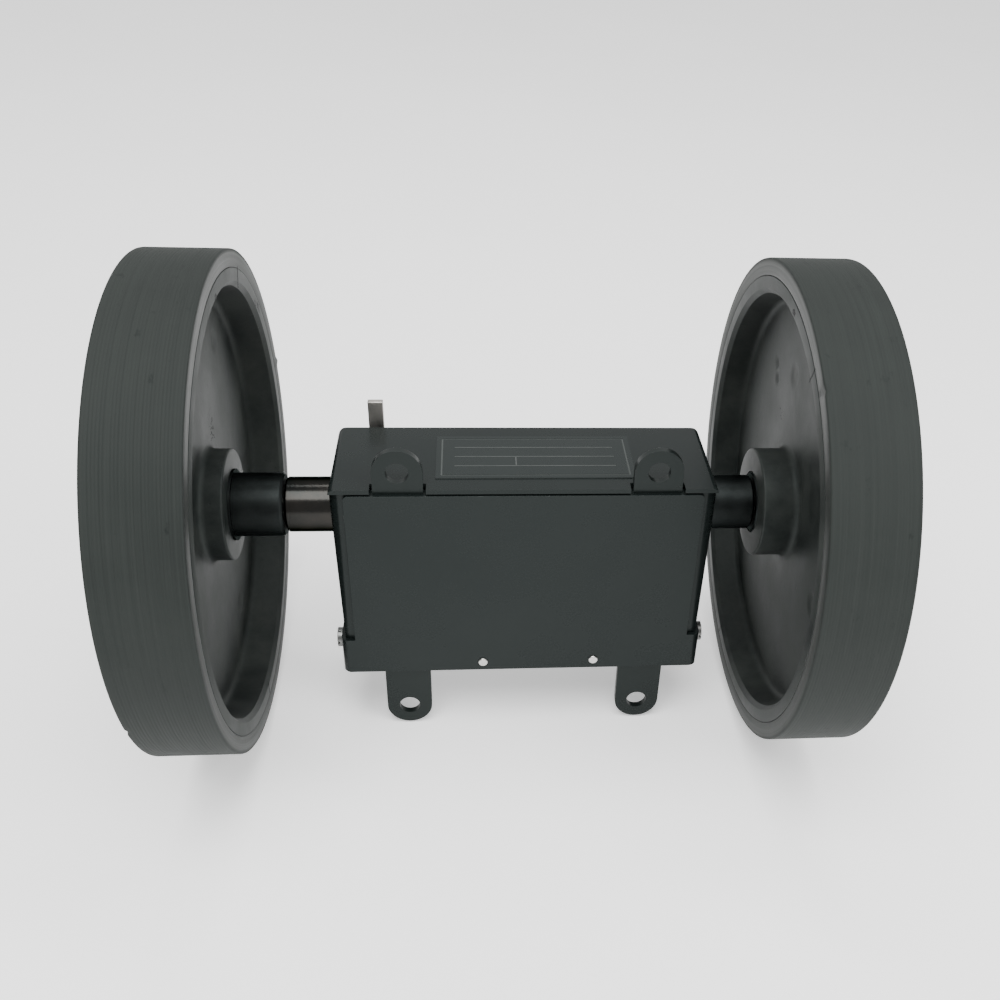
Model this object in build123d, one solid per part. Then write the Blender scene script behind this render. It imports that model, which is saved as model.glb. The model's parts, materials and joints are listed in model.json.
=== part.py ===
from build123d import *
import os
from math import acos, atan2, cos, hypot, pi, radians, sin, sqrt, tan

# Two-wheel length counter. A sheet-steel counter box carries a through shaft with a rubber-tyred
# wheel on each end; four ears on its mounting plate bolt it to a machine.
# X runs along the wheel shaft, the mounting side faces -Y, the digit window faces +Y, Z is up.
# Every piece is drawn about the wheel shaft's axis, in the middle of the counter box, and written
# about the row's origin: the centre of the four ear holes, on the ears' rear face.

# ---- wheels ----
wheel_radius = 53.05            # circumference of one third of a metre
wheel_width = 17.0
tyre_thickness = 3.75
rim_thickness = 3.6
left_wheel_x = -68.0
right_wheel_x = 60.5
web_left_x = -1.7               # web faces, measured from the wheel's middle plane
web_right_x = 0.7
web_fillet = 1.6
rim_draft = 0.7
lip_chamfer = 0.9
boss_radius = 12.0
boss_left_x = -9.5
boss_right_x = 5.8
tyre_chamfer = 0.45

# ---- hub sleeve and grub screw ----
sleeve_radius = 6.85
sleeve_left_x = -9.7
sleeve_right_x = 16.7
sleeve_shoulder_radius = 7.7
sleeve_shoulder_width = 0.5
grub_radius = 1.95
grub_x = 12.9
grub_angle = -67.0              # degrees from +Y towards +Z
grub_stand = 0.35
hex_socket_radius = 1.0
hex_socket_depth = 1.2

# ---- wheel shaft and its bearing tubes ----
shaft_radius = 3.0
shaft_stand = 0.8
shaft_chamfer = 0.4
bearing_radius = 6.0
bearing_flange_radius = 6.8
bearing_flange_width = 2.0
bearing_gap = 0.3               # end gap to the turning hub
bearing_edge = 0.5
clip_width = 0.6
clip_wall = 1.6

# ---- counter box ----
box_half_width = 41.2           # at the top face
box_side_lean = 0.95            # how far each side leans in by the bottom
box_top_z = 8.9
box_bottom_z = -41.0
box_rear_y = -8.2
box_front_y = 18.1
sheet = 1.0
rear_bend = 2.2
front_bend = 2.0
long_edge_bend = 1.2
top_lip = 0.8
rear_opening_margin = 5.2
rear_opening_half_width = box_half_width - rear_opening_margin

# ---- mounting plate and ears ----
ear_sheet = 1.6
plate_side_margin = 5.4
plate_end_margin = 1.3
plate_half_width = box_half_width - plate_side_margin
plate_top_z = box_top_z - plate_end_margin
plate_bottom_z = box_bottom_z + plate_end_margin
ear_radius = 5.25
ear_hole_radius = 2.4
ear_spacing_x = 54.8
ear_centre_x = 0.6
ear_upper_z = 12.5
ear_lower_z = -52.0
ear_notch_gap = 0.6

# ---- back plate with its two folded lugs ----
back_sheet = 1.0
back_side_margin = 3.0
back_top_margin = 1.4
back_bottom_margin = 0.6
back_half_width = box_half_width - back_side_margin
back_top_z = box_top_z - back_top_margin
back_bottom_z = box_bottom_z + back_bottom_margin
back_corner = 1.0
lug_height = 9.4
lug_top_z = back_bottom_z + lug_height
lug_depth = 9.5
lug_sheet = 0.9
lug_bend = 1.8
side_screw_y = -3.2
side_screw_z = -34.6
side_screw_head_radius = 2.3
side_screw_head_height = 1.4
side_screw_radius = 1.25
nut_flats = 5.0
nut_height = 1.6
rivet_places = ((-9.3, -38.0), (16.5, -37.9))
rivet_head_radius = 1.1
rivet_head_height = 0.45
rivet_radius = 0.8

# ---- nameplate ----
nameplate_length = 43.0
nameplate_depth = 18.0
nameplate_centre = (2.4, 4.6)
nameplate_thickness = 0.2
nameplate_border = 1.1
nameplate_line = 0.35
nameplate_engrave = 0.08

# ---- digit window ----
window_height = 11.6
window_margin = 1.5             # past the row of drums at each end
window_corner = 1.5
bezel_border = 3.4
bezel_lap = 1.4
bezel_stand = 1.5
lens_gap = 0.1

# ---- mechanism frame ----
frame_sheet = 1.2
frame_left_x = -28.4            # inner faces of the two side plates
frame_end_gap = 1.4             # from the last drum to the right side plate
frame_front_gap = 1.5           # to the inside of the box front
frame_top_gap = 1.3
frame_bottom_gap = 1.2
frame_foot = 6.0
foot_bottom_z = -34.0
foot_top_z = -6.0
frame_screw_z = (-30.0, -10.0)
frame_screw_radius = 1.2
frame_screw_head_radius = 2.0
frame_screw_head_height = 1.4
tie_rod_places = ((13.5, -36.4), (-3.4, -19.0), (9.5, 4.2))
tie_rod_radius = 1.8
tie_screw_radius = 1.0
tie_screw_depth = 4.0
tie_screw_head_radius = 1.7
tie_screw_head_height = 1.1
screw_slot_width = 0.5
screw_slot_depth = 0.5

# ---- gear train: wheel shaft to first drum, three turns to one ----
drum_front_gap = 1.1            # from the drums to the inside of the box front
drum_axis_z = -24.5
pressure_angle = radians(20)
addendum = 0.7
dedendum = 1.15
backlash = 0.25
train_module = 0.5
drive_teeth = 18
idler_teeth = 36
idler_pinion_teeth = 20
drum_gear_teeth = 30
train_left_x = -26.4            # big train gears sit between these
train_right_x = -24.6
drive_hub_radius = 4.6
drive_hub_length = 1.9
drive_pin_radius = 0.6
idler_shaft_radius = 1.5
idler_hub_radius = 3.0

# ---- digit drums and transfer pinions ----
drum_count = 5
drum_radius = 9.0
drum_pitch = 8.4
drums_left_x = -21.0
drum_gear_width = 1.0
heart_width = 1.0
drum_end_gap = 0.3              # between one drum and the next
carry_width = 0.8
drum_wall = 1.1
drum_web = 1.4
drum_hub_radius = 2.6
drum_shaft_radius = 1.5
drum_module = 0.8
drum_teeth = 20
pinion_teeth = 8
pinion_direction = 233.0        # degrees from +Y towards +Z, seen from the drum axis
pinion_shaft_radius = 1.0
pinion_side_gap = 0.1
pinion_spacer_radius = 1.6
heart_low_radius = 3.3
heart_high_radius = 6.4
carry_radius = 6.3
carry_tooth_radius = 7.0
carry_tooth_half_angle = 9.0
drum_drive_width = 1.6
drum_drive_hub_radius = 3.2
clip_small_wall = 1.0
clip_small_width = 0.5

# ---- reset lever, shaft and hammers ----
reset_y = 13.5
reset_z = -1.5
reset_shaft_radius = 1.5
reset_shaft_left_x = -36.0
lever_x = -32.9
lever_width = 3.4
lever_sheet = 1.5
lever_hub_radius = 3.0
lever_arm_z = 1.2
lever_stem_y = 21.2
lever_top_z = 14.4
lever_bend = 1.6
slot_margin_x = 0.7
slot_bottom_z = -4.2
slot_top_z = 5.4
hammer_hub_radius = 2.5
hammer_length = 16.4
hammer_width = 1.8
hammer_thickness = 0.6
spring_wire_radius = 0.3
spring_coil_radius = 2.3
spring_pitch = 1.0
spring_hammer_gap = 2.0         # from the last hammer to the spring
spring_end_gap = 1.0            # to the right side plate

# ---- named clearances ----
run_gap = 0.05                  # radial, turning fits
seat_gap = 0.02                 # radial, seated and pressed fits

# ---- places that follow from the sizes above ----
drums_right_x = drums_left_x + drum_count * drum_pitch
window_length = drums_right_x - drums_left_x + 2 * window_margin
drum_axis_y = box_front_y - sheet - drum_front_gap - drum_radius
frame_right_x = drums_right_x + frame_end_gap
frame_front_y = box_front_y - sheet - frame_front_gap
frame_top_z = box_top_z - sheet - frame_top_gap
frame_bottom_z = box_bottom_z + sheet + frame_bottom_gap
last_hammer_x = drums_right_x - drum_pitch + drum_gear_width + (heart_width + hammer_thickness) / 2
spring_left_x = last_hammer_x + spring_hammer_gap
spring_length = frame_right_x - spring_left_x - spring_end_gap
rim_width = drum_pitch - drum_gear_width - heart_width - carry_width - drum_end_gap

os.makedirs("parts", exist_ok=True)


to_origin = Pos(-ear_centre_x, -box_rear_y, -(ear_upper_z + ear_lower_z) / 2)


def write(name, shape):
    """Write one node, made of a solid or a list of separate solids, about the row's origin."""
    solids = list(shape) if isinstance(shape, (list, tuple)) else [shape]
    placed = [to_origin * solid for solid in solids]
    whole = placed[0] if len(placed) == 1 else Compound(children=placed)
    export_step(whole, f"parts/{name}.step")


def prism_x(profile, x_start, x_end):
    """Extrude a profile drawn in (Y, Z) from one X to another."""
    return extrude(Plane.YZ.offset(x_start) * profile, amount=x_end - x_start)


def rod_x(radius, x_start, x_end, y=0.0, z=0.0):
    """Round bar along X."""
    return prism_x(Pos(y, z) * Circle(radius), x_start, x_end)


def tube_x(radius, bore, x_start, x_end, y=0.0, z=0.0):
    """Round bar along X with a bore."""
    return prism_x(Pos(y, z) * (Circle(radius) - Circle(bore)), x_start, x_end)


def rod_y(radius, y_start, y_end, x, z):
    """Round bar along Y."""
    middle = (y_start + y_end) / 2
    return Pos(x, middle, z) * Rot(90, 0, 0) * Cylinder(radius, y_end - y_start)


def block(x_start, x_end, y_start, y_end, z_start, z_end):
    """Box between six planes."""
    size = Box(x_end - x_start, y_end - y_start, z_end - z_start)
    return Pos((x_start + x_end) / 2, (y_start + y_end) / 2, (z_start + z_end) / 2) * size


def turned_x(points):
    """Revolve an outline of (x, radius) points about the X axis."""
    return revolve(make_face(Polyline(*points, close=True)), axis=Axis.X)


def polar(radius, angle):
    """Point at an angle in radians."""
    return (radius * cos(angle), radius * sin(angle))


def gear_outline(module, teeth, phase):
    """Involute gear outline with one tooth centred on the angle phase, in radians."""
    pitch_radius = module * teeth / 2
    base_radius = pitch_radius * cos(pressure_angle)
    tip_radius = pitch_radius + addendum * module
    root_radius = pitch_radius - dedendum * module
    half_tooth = (pi / 2 - backlash) / teeth + tan(pressure_angle) - pressure_angle
    start_radius = max(base_radius, root_radius)
    steps = 3
    flank = []
    for step in range(steps + 1):
        radius = start_radius + (tip_radius - start_radius) * step / steps
        roll = acos(min(1.0, base_radius / radius))
        flank.append((radius, half_tooth - (tan(roll) - roll)))
    points = []
    for tooth in range(teeth):
        middle = phase + 2 * pi * tooth / teeth
        points.append(polar(root_radius, middle - flank[0][1]))
        points += [polar(r, middle - a) for r, a in flank if r > root_radius]
        points += [polar(r, middle + a) for r, a in reversed(flank) if r > root_radius]
        points.append(polar(root_radius, middle + flank[0][1]))
    return make_face(Polyline(*points, close=True))


def gear_x(module, teeth, phase, bore, x_start, x_end, y=0.0, z=0.0):
    """Spur gear along X, centred on (y, z)."""
    outline = gear_outline(module, teeth, phase) - Circle(bore)
    return prism_x(Pos(y, z) * outline, x_start, x_end)


def mesh_phase(from_centre, to_centre, teeth):
    """Phase that gives the second gear a gap facing the first gear's centred tooth."""
    back = atan2(from_centre[1] - to_centre[1], from_centre[0] - to_centre[0])
    return back + pi / teeth


def aim(from_centre, to_centre):
    """Angle from one centre to another."""
    return atan2(to_centre[1] - from_centre[1], to_centre[0] - from_centre[0])


def slotted_screw_y(x, z, y_seat, head_radius, head_height, radius, y_end):
    """Screw along Y whose head stands on y_seat towards +Y and whose shank ends at y_end."""
    head = rod_y(head_radius, y_seat, y_seat + head_height, x, z)
    shank = rod_y(radius, y_end, y_seat, x, z)
    slot = block(x - head_radius, x + head_radius, y_seat + head_height - screw_slot_depth,
                 y_seat + head_height, z - screw_slot_width / 2, z + screw_slot_width / 2)
    return head + shank - slot


def slotted_screw_x(side, x_seat, y, z, head_radius, head_height, radius, length):
    """Screw along X; side is the way its head points."""
    ends = sorted((x_seat, x_seat + side * head_height))
    head = rod_x(head_radius, ends[0], ends[1], y, z)
    ends = sorted((x_seat, x_seat - side * length))
    shank = rod_x(radius, ends[0], ends[1], y, z)
    top = x_seat + side * head_height
    ends = sorted((top, top - side * screw_slot_depth))
    slot = block(ends[0], ends[1], y - head_radius, y + head_radius,
                 z - screw_slot_width / 2, z + screw_slot_width / 2)
    return head + shank - slot


# ---------------------------------------------------------------- wheels on the shaft
core_radius = wheel_radius - tyre_thickness
lip_radius = core_radius - rim_thickness
rim_left_x = -wheel_width / 2
rim_right_x = wheel_width / 2


def wheel_core(x):
    """Moulded wheel body: rim, thin web and a boss that takes the hub sleeve."""
    bore = sleeve_radius + seat_gap
    outline = [
        (boss_left_x, bore),
        (boss_left_x, boss_radius),
        (web_left_x, boss_radius),
        (web_left_x, lip_radius - rim_draft),
        (rim_left_x + lip_chamfer, lip_radius),
        (rim_left_x, lip_radius + lip_chamfer),
        (rim_left_x, core_radius),
        (rim_right_x, core_radius),
        (rim_right_x, lip_radius + lip_chamfer),
        (rim_right_x - lip_chamfer, lip_radius),
        (web_right_x, lip_radius - rim_draft),
        (web_right_x, boss_radius),
        (boss_right_x, boss_radius),
        (boss_right_x, bore),
    ]
    face = make_face(Polyline(*outline, close=True))
    inner_corners = [v for v in face.vertices()
                     if min(abs(v.X - web_left_x), abs(v.X - web_right_x)) < 0.01]
    face = fillet(inner_corners, web_fillet)
    return Pos(x, 0, 0) * revolve(face, axis=Axis.X)


def tyre(x):
    """Solid rubber tyre with broken edges."""
    inner = core_radius + seat_gap
    outline = [
        (rim_left_x, inner),
        (rim_left_x, wheel_radius - tyre_chamfer),
        (rim_left_x + tyre_chamfer, wheel_radius),
        (rim_right_x - tyre_chamfer, wheel_radius),
        (rim_right_x, wheel_radius - tyre_chamfer),
        (rim_right_x, inner),
    ]
    return Pos(x, 0, 0) * turned_x(outline)


def grub_axis(x):
    """Frame at the wheel shaft's axis whose Z runs out along the grub screw."""
    angle = radians(grub_angle)
    return Plane(origin=(x + grub_x, 0, 0), x_dir=(1, 0, 0), z_dir=(0, cos(angle), sin(angle)))


def hub_sleeve(x):
    """Steel sleeve pressed into the boss, with a threaded collar past the wheel."""
    outline = [
        (sleeve_left_x, shaft_radius + seat_gap),
        (sleeve_left_x, sleeve_radius - bearing_edge),
        (sleeve_left_x + bearing_edge, sleeve_radius),
        (boss_right_x + seat_gap, sleeve_radius),
        (boss_right_x + seat_gap, sleeve_shoulder_radius),
        (boss_right_x + seat_gap + sleeve_shoulder_width, sleeve_shoulder_radius),
        (boss_right_x + seat_gap + sleeve_shoulder_width, sleeve_radius),
        (sleeve_right_x - bearing_edge, sleeve_radius),
        (sleeve_right_x, sleeve_radius - bearing_edge),
        (sleeve_right_x, shaft_radius + seat_gap),
    ]
    hole = grub_axis(x) * (Pos(0, 0, sleeve_radius) * Cylinder(grub_radius + seat_gap, 2 * sleeve_radius))
    return Pos(x, 0, 0) * turned_x(outline) - hole


def grub_screw(x):
    """Grub screw with a hexagon socket, tightened onto the shaft."""
    inner = shaft_radius + seat_gap
    outer = sleeve_radius + grub_stand
    body = Pos(0, 0, (inner + outer) / 2) * Cylinder(grub_radius, outer - inner)
    socket = extrude(Plane.XY.offset(outer - hex_socket_depth) * RegularPolygon(hex_socket_radius, 6),
                     amount=hex_socket_depth)
    return grub_axis(x) * (body - socket)


for side, wheel_x in (("left", left_wheel_x), ("right", right_wheel_x)):
    write(f"{side}_wheel_core", wheel_core(wheel_x))
    write(f"{side}_tyre", tyre(wheel_x))
    write(f"{side}_hub_sleeve", hub_sleeve(wheel_x))
write("hub_grub_screws", [grub_screw(left_wheel_x), grub_screw(right_wheel_x)])

shaft_left_x = left_wheel_x + sleeve_left_x - shaft_stand
shaft_right_x = right_wheel_x + sleeve_right_x + shaft_stand

# ---------------------------------------------------------------- counter box
box_height = box_top_z - box_bottom_z


def half_width_at(z):
    """Half width of the leaning box at a height."""
    return box_half_width - box_side_lean * (box_top_z - z) / box_height


def box_front_outline(inset):
    """Box outline seen along Y, drawn in (X, Z)."""
    top = box_top_z - inset
    bottom = box_bottom_z + inset
    corners = [
        (half_width_at(top) - inset, top),
        (half_width_at(bottom) - inset, bottom),
        (-half_width_at(bottom) + inset, bottom),
        (-half_width_at(top) + inset, top),
    ]
    face = make_face(Polyline(*corners, close=True))
    return fillet(face.vertices(), max(long_edge_bend - inset, 0.2))


def prism_y(profile, y_start, y_end):
    """Extrude a profile drawn in (X, Z) from one Y to another."""
    plane = Plane(origin=(0, y_start, 0), x_dir=(1, 0, 0), z_dir=(0, -1, 0))
    return extrude(plane * profile, amount=-(y_end - y_start))


def box_solid(inset):
    """Box shape, leaning sides and rounded upright edges, shrunk by inset."""
    along = prism_y(box_front_outline(inset), box_rear_y + inset, box_front_y - inset)
    half = box_half_width - inset
    depth = box_front_y - box_rear_y - 2 * inset
    middle = (box_front_y + box_rear_y) / 2
    plan = Pos(0, middle) * Rectangle(2 * half, depth)
    rear = [v for v in plan.vertices() if v.Y < middle]
    front = [v for v in plan.vertices() if v.Y > middle]
    plan = fillet(rear, rear_bend - inset)
    front = [v for v in plan.vertices() if v.Y > box_front_y - inset - 0.01]
    plan = fillet(front, front_bend - inset)
    upright = extrude(Plane.XY.offset(box_bottom_z - 1) * plan, amount=box_height + 2)
    return along & upright


window_x = (drums_left_x + drums_right_x) / 2
ear_x = [ear_centre_x - ear_spacing_x / 2, ear_centre_x + ear_spacing_x / 2]
lip_rear_y = box_rear_y - top_lip
mount_rear_y = box_rear_y
mount_front_y = mount_rear_y + ear_sheet
bearing_hole_radius = bearing_radius + seat_gap

cover = box_solid(0) - box_solid(sheet)
cover -= block(-rear_opening_half_width, rear_opening_half_width, box_rear_y - 1, box_rear_y + sheet + 0.5,
               box_bottom_z + sheet, box_top_z - sheet)
lip = prism_y(box_front_outline(0), lip_rear_y, box_rear_y + rear_bend)
cover += lip & block(-box_half_width, box_half_width, lip_rear_y, box_rear_y + rear_bend,
                     box_top_z - sheet, box_top_z + 1)
for x in ear_x:
    notch = ear_radius + ear_notch_gap
    for z_start, z_end in ((box_top_z - sheet - 0.5, box_top_z + 1), (box_bottom_z - 1, box_bottom_z + sheet + 0.5)):
        cover -= block(x - notch, x + notch, lip_rear_y - 1, mount_front_y + 0.3, z_start, z_end)
cover -= rod_x(bearing_hole_radius, -box_half_width - 1, box_half_width + 1)
window_cut = Pos(window_x, drum_axis_z) * RectangleRounded(window_length, window_height, window_corner)
cover -= prism_y(window_cut, box_front_y - sheet - 1, box_front_y + 1)
cover -= block(lever_x - lever_width / 2 - slot_margin_x, lever_x + lever_width / 2 + slot_margin_x,
               box_front_y - sheet - 1, box_front_y + 1, slot_bottom_z, slot_top_z)
for side in (-1, 1):
    cover -= rod_x(side_screw_radius + seat_gap, *sorted((side * (box_half_width - 4), side * (box_half_width + 1))),
                   side_screw_y, side_screw_z)
write("housing_cover", cover)

# ---------------------------------------------------------------- mounting plate and back plate
plate = block(-plate_half_width, plate_half_width, mount_rear_y, mount_front_y, plate_bottom_z, plate_top_z)
for x in ear_x:
    for z, z_root in ((ear_upper_z, plate_top_z - 1), (ear_lower_z, plate_bottom_z + 1)):
        tongue = block(x - ear_radius, x + ear_radius, mount_rear_y, mount_front_y, min(z, z_root), max(z, z_root))
        plate += tongue + rod_y(ear_radius, mount_rear_y, mount_front_y, x, z)
for x in ear_x:
    for z in (ear_upper_z, ear_lower_z):
        plate -= rod_y(ear_hole_radius, mount_rear_y - 1, mount_front_y + 1, x, z)
foot_screw_x = (frame_left_x - frame_sheet - frame_foot / 2, frame_right_x + frame_sheet + frame_foot / 2)
for x in foot_screw_x:
    for z in frame_screw_z:
        plate -= rod_y(frame_screw_radius + seat_gap, mount_rear_y - 1, mount_front_y + 1, x, z)
for x, z in rivet_places:
    plate -= rod_y(rivet_radius + seat_gap, mount_rear_y - 1, mount_front_y + 1, x, z)
write("mounting_plate", plate)

back_rear_y = box_rear_y - back_sheet
lug_inner_x = half_width_at(lug_top_z) + seat_gap
lug_outer_x = lug_inner_x + lug_sheet
back = prism_y(Pos(0, (back_top_z + back_bottom_z) / 2)
               * RectangleRounded(2 * back_half_width, back_top_z - back_bottom_z, back_corner),
               back_rear_y, box_rear_y)
lug_plan = Pos(0, back_rear_y + lug_depth / 2) * Rectangle(2 * lug_outer_x, lug_depth)
lug_plan = fillet([v for v in lug_plan.vertices() if v.Y < back_rear_y + 0.1], lug_bend)
lug_hollow = Pos(0, box_rear_y + lug_depth / 2) * Rectangle(2 * lug_inner_x, lug_depth)
lug_hollow = fillet([v for v in lug_hollow.vertices() if v.Y < box_rear_y + 0.1], lug_bend - lug_sheet)
lug_plan -= lug_hollow
lugs = extrude(Plane.XY.offset(back_bottom_z) * lug_plan, amount=lug_top_z - back_bottom_z)
back += lugs
for side in (-1, 1):
    back -= rod_x(side_screw_radius + seat_gap, *sorted((side * (lug_inner_x - 1), side * (lug_outer_x + 1))),
                  side_screw_y, side_screw_z)
for x, z in rivet_places:
    back -= rod_y(rivet_radius + seat_gap, back_rear_y - 1, box_rear_y + 1, x, z)
write("back_plate", back)

side_screws = []
side_nuts = []
nut_seat_x = half_width_at(side_screw_z - nut_flats / 2) - sheet - seat_gap
for side in (-1, 1):
    side_screws.append(slotted_screw_x(side, side * lug_outer_x, side_screw_y, side_screw_z,
                                       side_screw_head_radius, side_screw_head_height, side_screw_radius,
                                       lug_outer_x - nut_seat_x + nut_height))
    ends = sorted((side * nut_seat_x, side * (nut_seat_x - nut_height)))
    hexagon = RegularPolygon(nut_flats / 2, 6, major_radius=False) - Circle(side_screw_radius + seat_gap)
    side_nuts.append(prism_x(Pos(side_screw_y, side_screw_z) * hexagon, ends[0], ends[1]))
write("side_screws", side_screws)
write("side_screw_nuts", side_nuts)

rivets = []
for x, z in rivet_places:
    shank = rod_y(rivet_radius, back_rear_y, mount_front_y, x, z)
    head = rod_y(rivet_head_radius, back_rear_y - rivet_head_height, back_rear_y, x, z)
    rim = head.edges().filter_by(GeomType.CIRCLE).sort_by(Axis.Y)[0]
    rivets.append(fillet(rim, rivet_head_height * 0.8) + shank)
write("plate_rivets", rivets)

label = block(nameplate_centre[0] - nameplate_length / 2, nameplate_centre[0] + nameplate_length / 2,
              nameplate_centre[1] - nameplate_depth / 2, nameplate_centre[1] + nameplate_depth / 2,
              box_top_z, box_top_z + nameplate_thickness)
outer = Rectangle(nameplate_length - 2 * nameplate_border, nameplate_depth - 2 * nameplate_border)
inner_border = nameplate_border + nameplate_line
inner = Rectangle(nameplate_length - 2 * inner_border, nameplate_depth - 2 * inner_border)
line = extrude(Plane.XY.offset(box_top_z + nameplate_thickness - nameplate_engrave)
               * (Pos(*nameplate_centre) * (outer - inner)), amount=nameplate_engrave)
write("nameplate", label - line)

# ---------------------------------------------------------------- window
bezel_outline = RectangleRounded(window_length + 2 * bezel_border, window_height + 2 * bezel_border,
                                 window_corner + bezel_border / 2)
bezel_outline -= RectangleRounded(window_length - 2 * bezel_lap, window_height - 2 * bezel_lap, window_corner)
write("window_bezel", prism_y(Pos(window_x, drum_axis_z) * bezel_outline, box_front_y, box_front_y + bezel_stand))
lens_outline = RectangleRounded(window_length - 2 * lens_gap, window_height - 2 * lens_gap, window_corner)
write("window_lens", prism_y(Pos(window_x, drum_axis_z) * lens_outline, box_front_y - sheet, box_front_y))

# ---------------------------------------------------------------- bearing tubes
flange_x = half_width_at(-bearing_flange_radius) - sheet - seat_gap


def bearing_tube(side, end_x):
    """Polished tube through the box side, flanged inside, that carries the shaft."""
    bore = shaft_radius + run_gap
    outline = [
        (flange_x - bearing_flange_width, bore),
        (flange_x - bearing_flange_width, bearing_flange_radius),
        (flange_x, bearing_flange_radius),
        (flange_x, bearing_radius),
        (end_x - bearing_edge, bearing_radius),
        (end_x, bearing_radius - bearing_edge),
        (end_x, bore),
    ]
    return turned_x([(side * x, radius) for x, radius in outline])


left_tube_end_x = -(left_wheel_x + sleeve_right_x + bearing_gap)
right_tube_end_x = right_wheel_x + sleeve_left_x - bearing_gap
write("left_bearing_tube", bearing_tube(-1, left_tube_end_x))
write("right_bearing_tube", bearing_tube(1, right_tube_end_x))

clip_x = flange_x - bearing_flange_width - bearing_gap
shaft_clips = []
for side in (-1, 1):
    ends = sorted((side * clip_x, side * (clip_x - clip_width)))
    shaft_clips.append(tube_x(shaft_radius + clip_wall, shaft_radius + seat_gap, ends[0], ends[1]))
write("shaft_circlips", shaft_clips)

# ---------------------------------------------------------------- gear train centres
drum_axis = (drum_axis_y, drum_axis_z)
shaft_axis = (0.0, 0.0)
first_distance = train_module * (drive_teeth + idler_teeth) / 2
second_distance = train_module * (idler_pinion_teeth + drum_gear_teeth) / 2
span = hypot(*drum_axis)
along_span = (first_distance ** 2 - second_distance ** 2 + span ** 2) / (2 * span)
off_span = sqrt(first_distance ** 2 - along_span ** 2)
idler_axis = (
    (drum_axis_y * along_span - drum_axis_z * off_span) / span,
    (drum_axis_z * along_span + drum_axis_y * off_span) / span,
)
pinion_distance = drum_module * (drum_teeth + pinion_teeth) / 2
pinion_angle = radians(pinion_direction)
pinion_axis = (drum_axis_y + pinion_distance * cos(pinion_angle), drum_axis_z + pinion_distance * sin(pinion_angle))
reset_axis = (reset_y, reset_z)

# ---------------------------------------------------------------- mechanism frame
frame_plan = Pos((mount_front_y + frame_front_y) / 2, (frame_top_z + frame_bottom_z) / 2) * RectangleRounded(
    frame_front_y - mount_front_y, frame_top_z - frame_bottom_z, 1.0)
frame_plan -= Circle(shaft_radius + 0.4)
frame_plan -= Pos(*drum_axis) * Circle(drum_shaft_radius + seat_gap)
frame_plan -= Pos(*pinion_axis) * Circle(pinion_shaft_radius + seat_gap)
frame_plan -= Pos(*reset_axis) * Circle(reset_shaft_radius + run_gap)
for place in tie_rod_places:
    frame_plan -= Pos(*place) * Circle(tie_screw_radius + seat_gap)


def frame_plate(side, inner_x, plan):
    """Side plate of the mechanism with a foot folded out along the mounting plate."""
    outer_x = inner_x + side * frame_sheet
    ends = sorted((inner_x, outer_x))
    sheet_part = prism_x(plan, ends[0], ends[1])
    ends = sorted((inner_x, outer_x + side * frame_foot))
    foot = block(ends[0], ends[1], mount_front_y, mount_front_y + frame_sheet, foot_bottom_z, foot_top_z)
    whole = sheet_part + foot
    for z in frame_screw_z:
        whole -= rod_y(frame_screw_radius + seat_gap, mount_front_y - 1, mount_front_y + frame_sheet + 1,
                       outer_x + side * frame_foot / 2, z)
    return whole


left_plan = frame_plan - Pos(*idler_axis) * Circle(idler_shaft_radius + seat_gap)
write("left_frame_plate", frame_plate(-1, frame_left_x, left_plan))
write("right_frame_plate", frame_plate(1, frame_right_x, frame_plan))

foot_screws = [
    slotted_screw_y(x, z, mount_front_y + frame_sheet, frame_screw_head_radius, frame_screw_head_height,
                    frame_screw_radius, mount_rear_y + 0.2)
    for x in foot_screw_x for z in frame_screw_z
]
write("frame_screws", foot_screws)

tie_rods = []
tie_screws = []
for y, z in tie_rod_places:
    rod = rod_x(tie_rod_radius, frame_left_x, frame_right_x, y, z)
    bore_depth = tie_screw_depth + 0.5
    rod -= rod_x(tie_screw_radius + seat_gap, frame_left_x, frame_left_x + bore_depth, y, z)
    rod -= rod_x(tie_screw_radius + seat_gap, frame_right_x - bore_depth, frame_right_x, y, z)
    tie_rods.append(rod)
    for side, inner_x in ((-1, frame_left_x), (1, frame_right_x)):
        tie_screws.append(slotted_screw_x(side, inner_x + side * frame_sheet, y, z, tie_screw_head_radius,
                                          tie_screw_head_height, tie_screw_radius,
                                          frame_sheet + tie_screw_depth))
write("tie_rods", tie_rods)
write("tie_rod_screws", tie_screws)

# ---------------------------------------------------------------- gear train
drive_phase = aim(shaft_axis, idler_axis)
idler_phase = mesh_phase(shaft_axis, idler_axis, idler_teeth)
idler_pinion_phase = aim(idler_axis, drum_axis)
drum_gear_phase = mesh_phase(idler_axis, drum_axis, drum_gear_teeth)

drive_hub_x = train_left_x - drive_hub_length
pin_x = train_left_x - drive_hub_length / 2
drive_gear = gear_x(train_module, drive_teeth, drive_phase, shaft_radius + seat_gap, train_left_x, train_right_x)
drive_gear += tube_x(drive_hub_radius, shaft_radius + seat_gap, drive_hub_x, train_left_x)
pin_hole = Pos(pin_x, 0, 0) * Cylinder(drive_pin_radius + seat_gap, 4 * drive_hub_radius)
write("drive_gear", drive_gear - pin_hole)
write("drive_gear_pin", Pos(pin_x, 0, 0) * Cylinder(drive_pin_radius, 2 * drive_hub_radius))

shaft = rod_x(shaft_radius, shaft_left_x, shaft_right_x)
shaft = chamfer(shaft.edges().filter_by(GeomType.CIRCLE), shaft_chamfer)
write("main_shaft", shaft - pin_hole)

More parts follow.
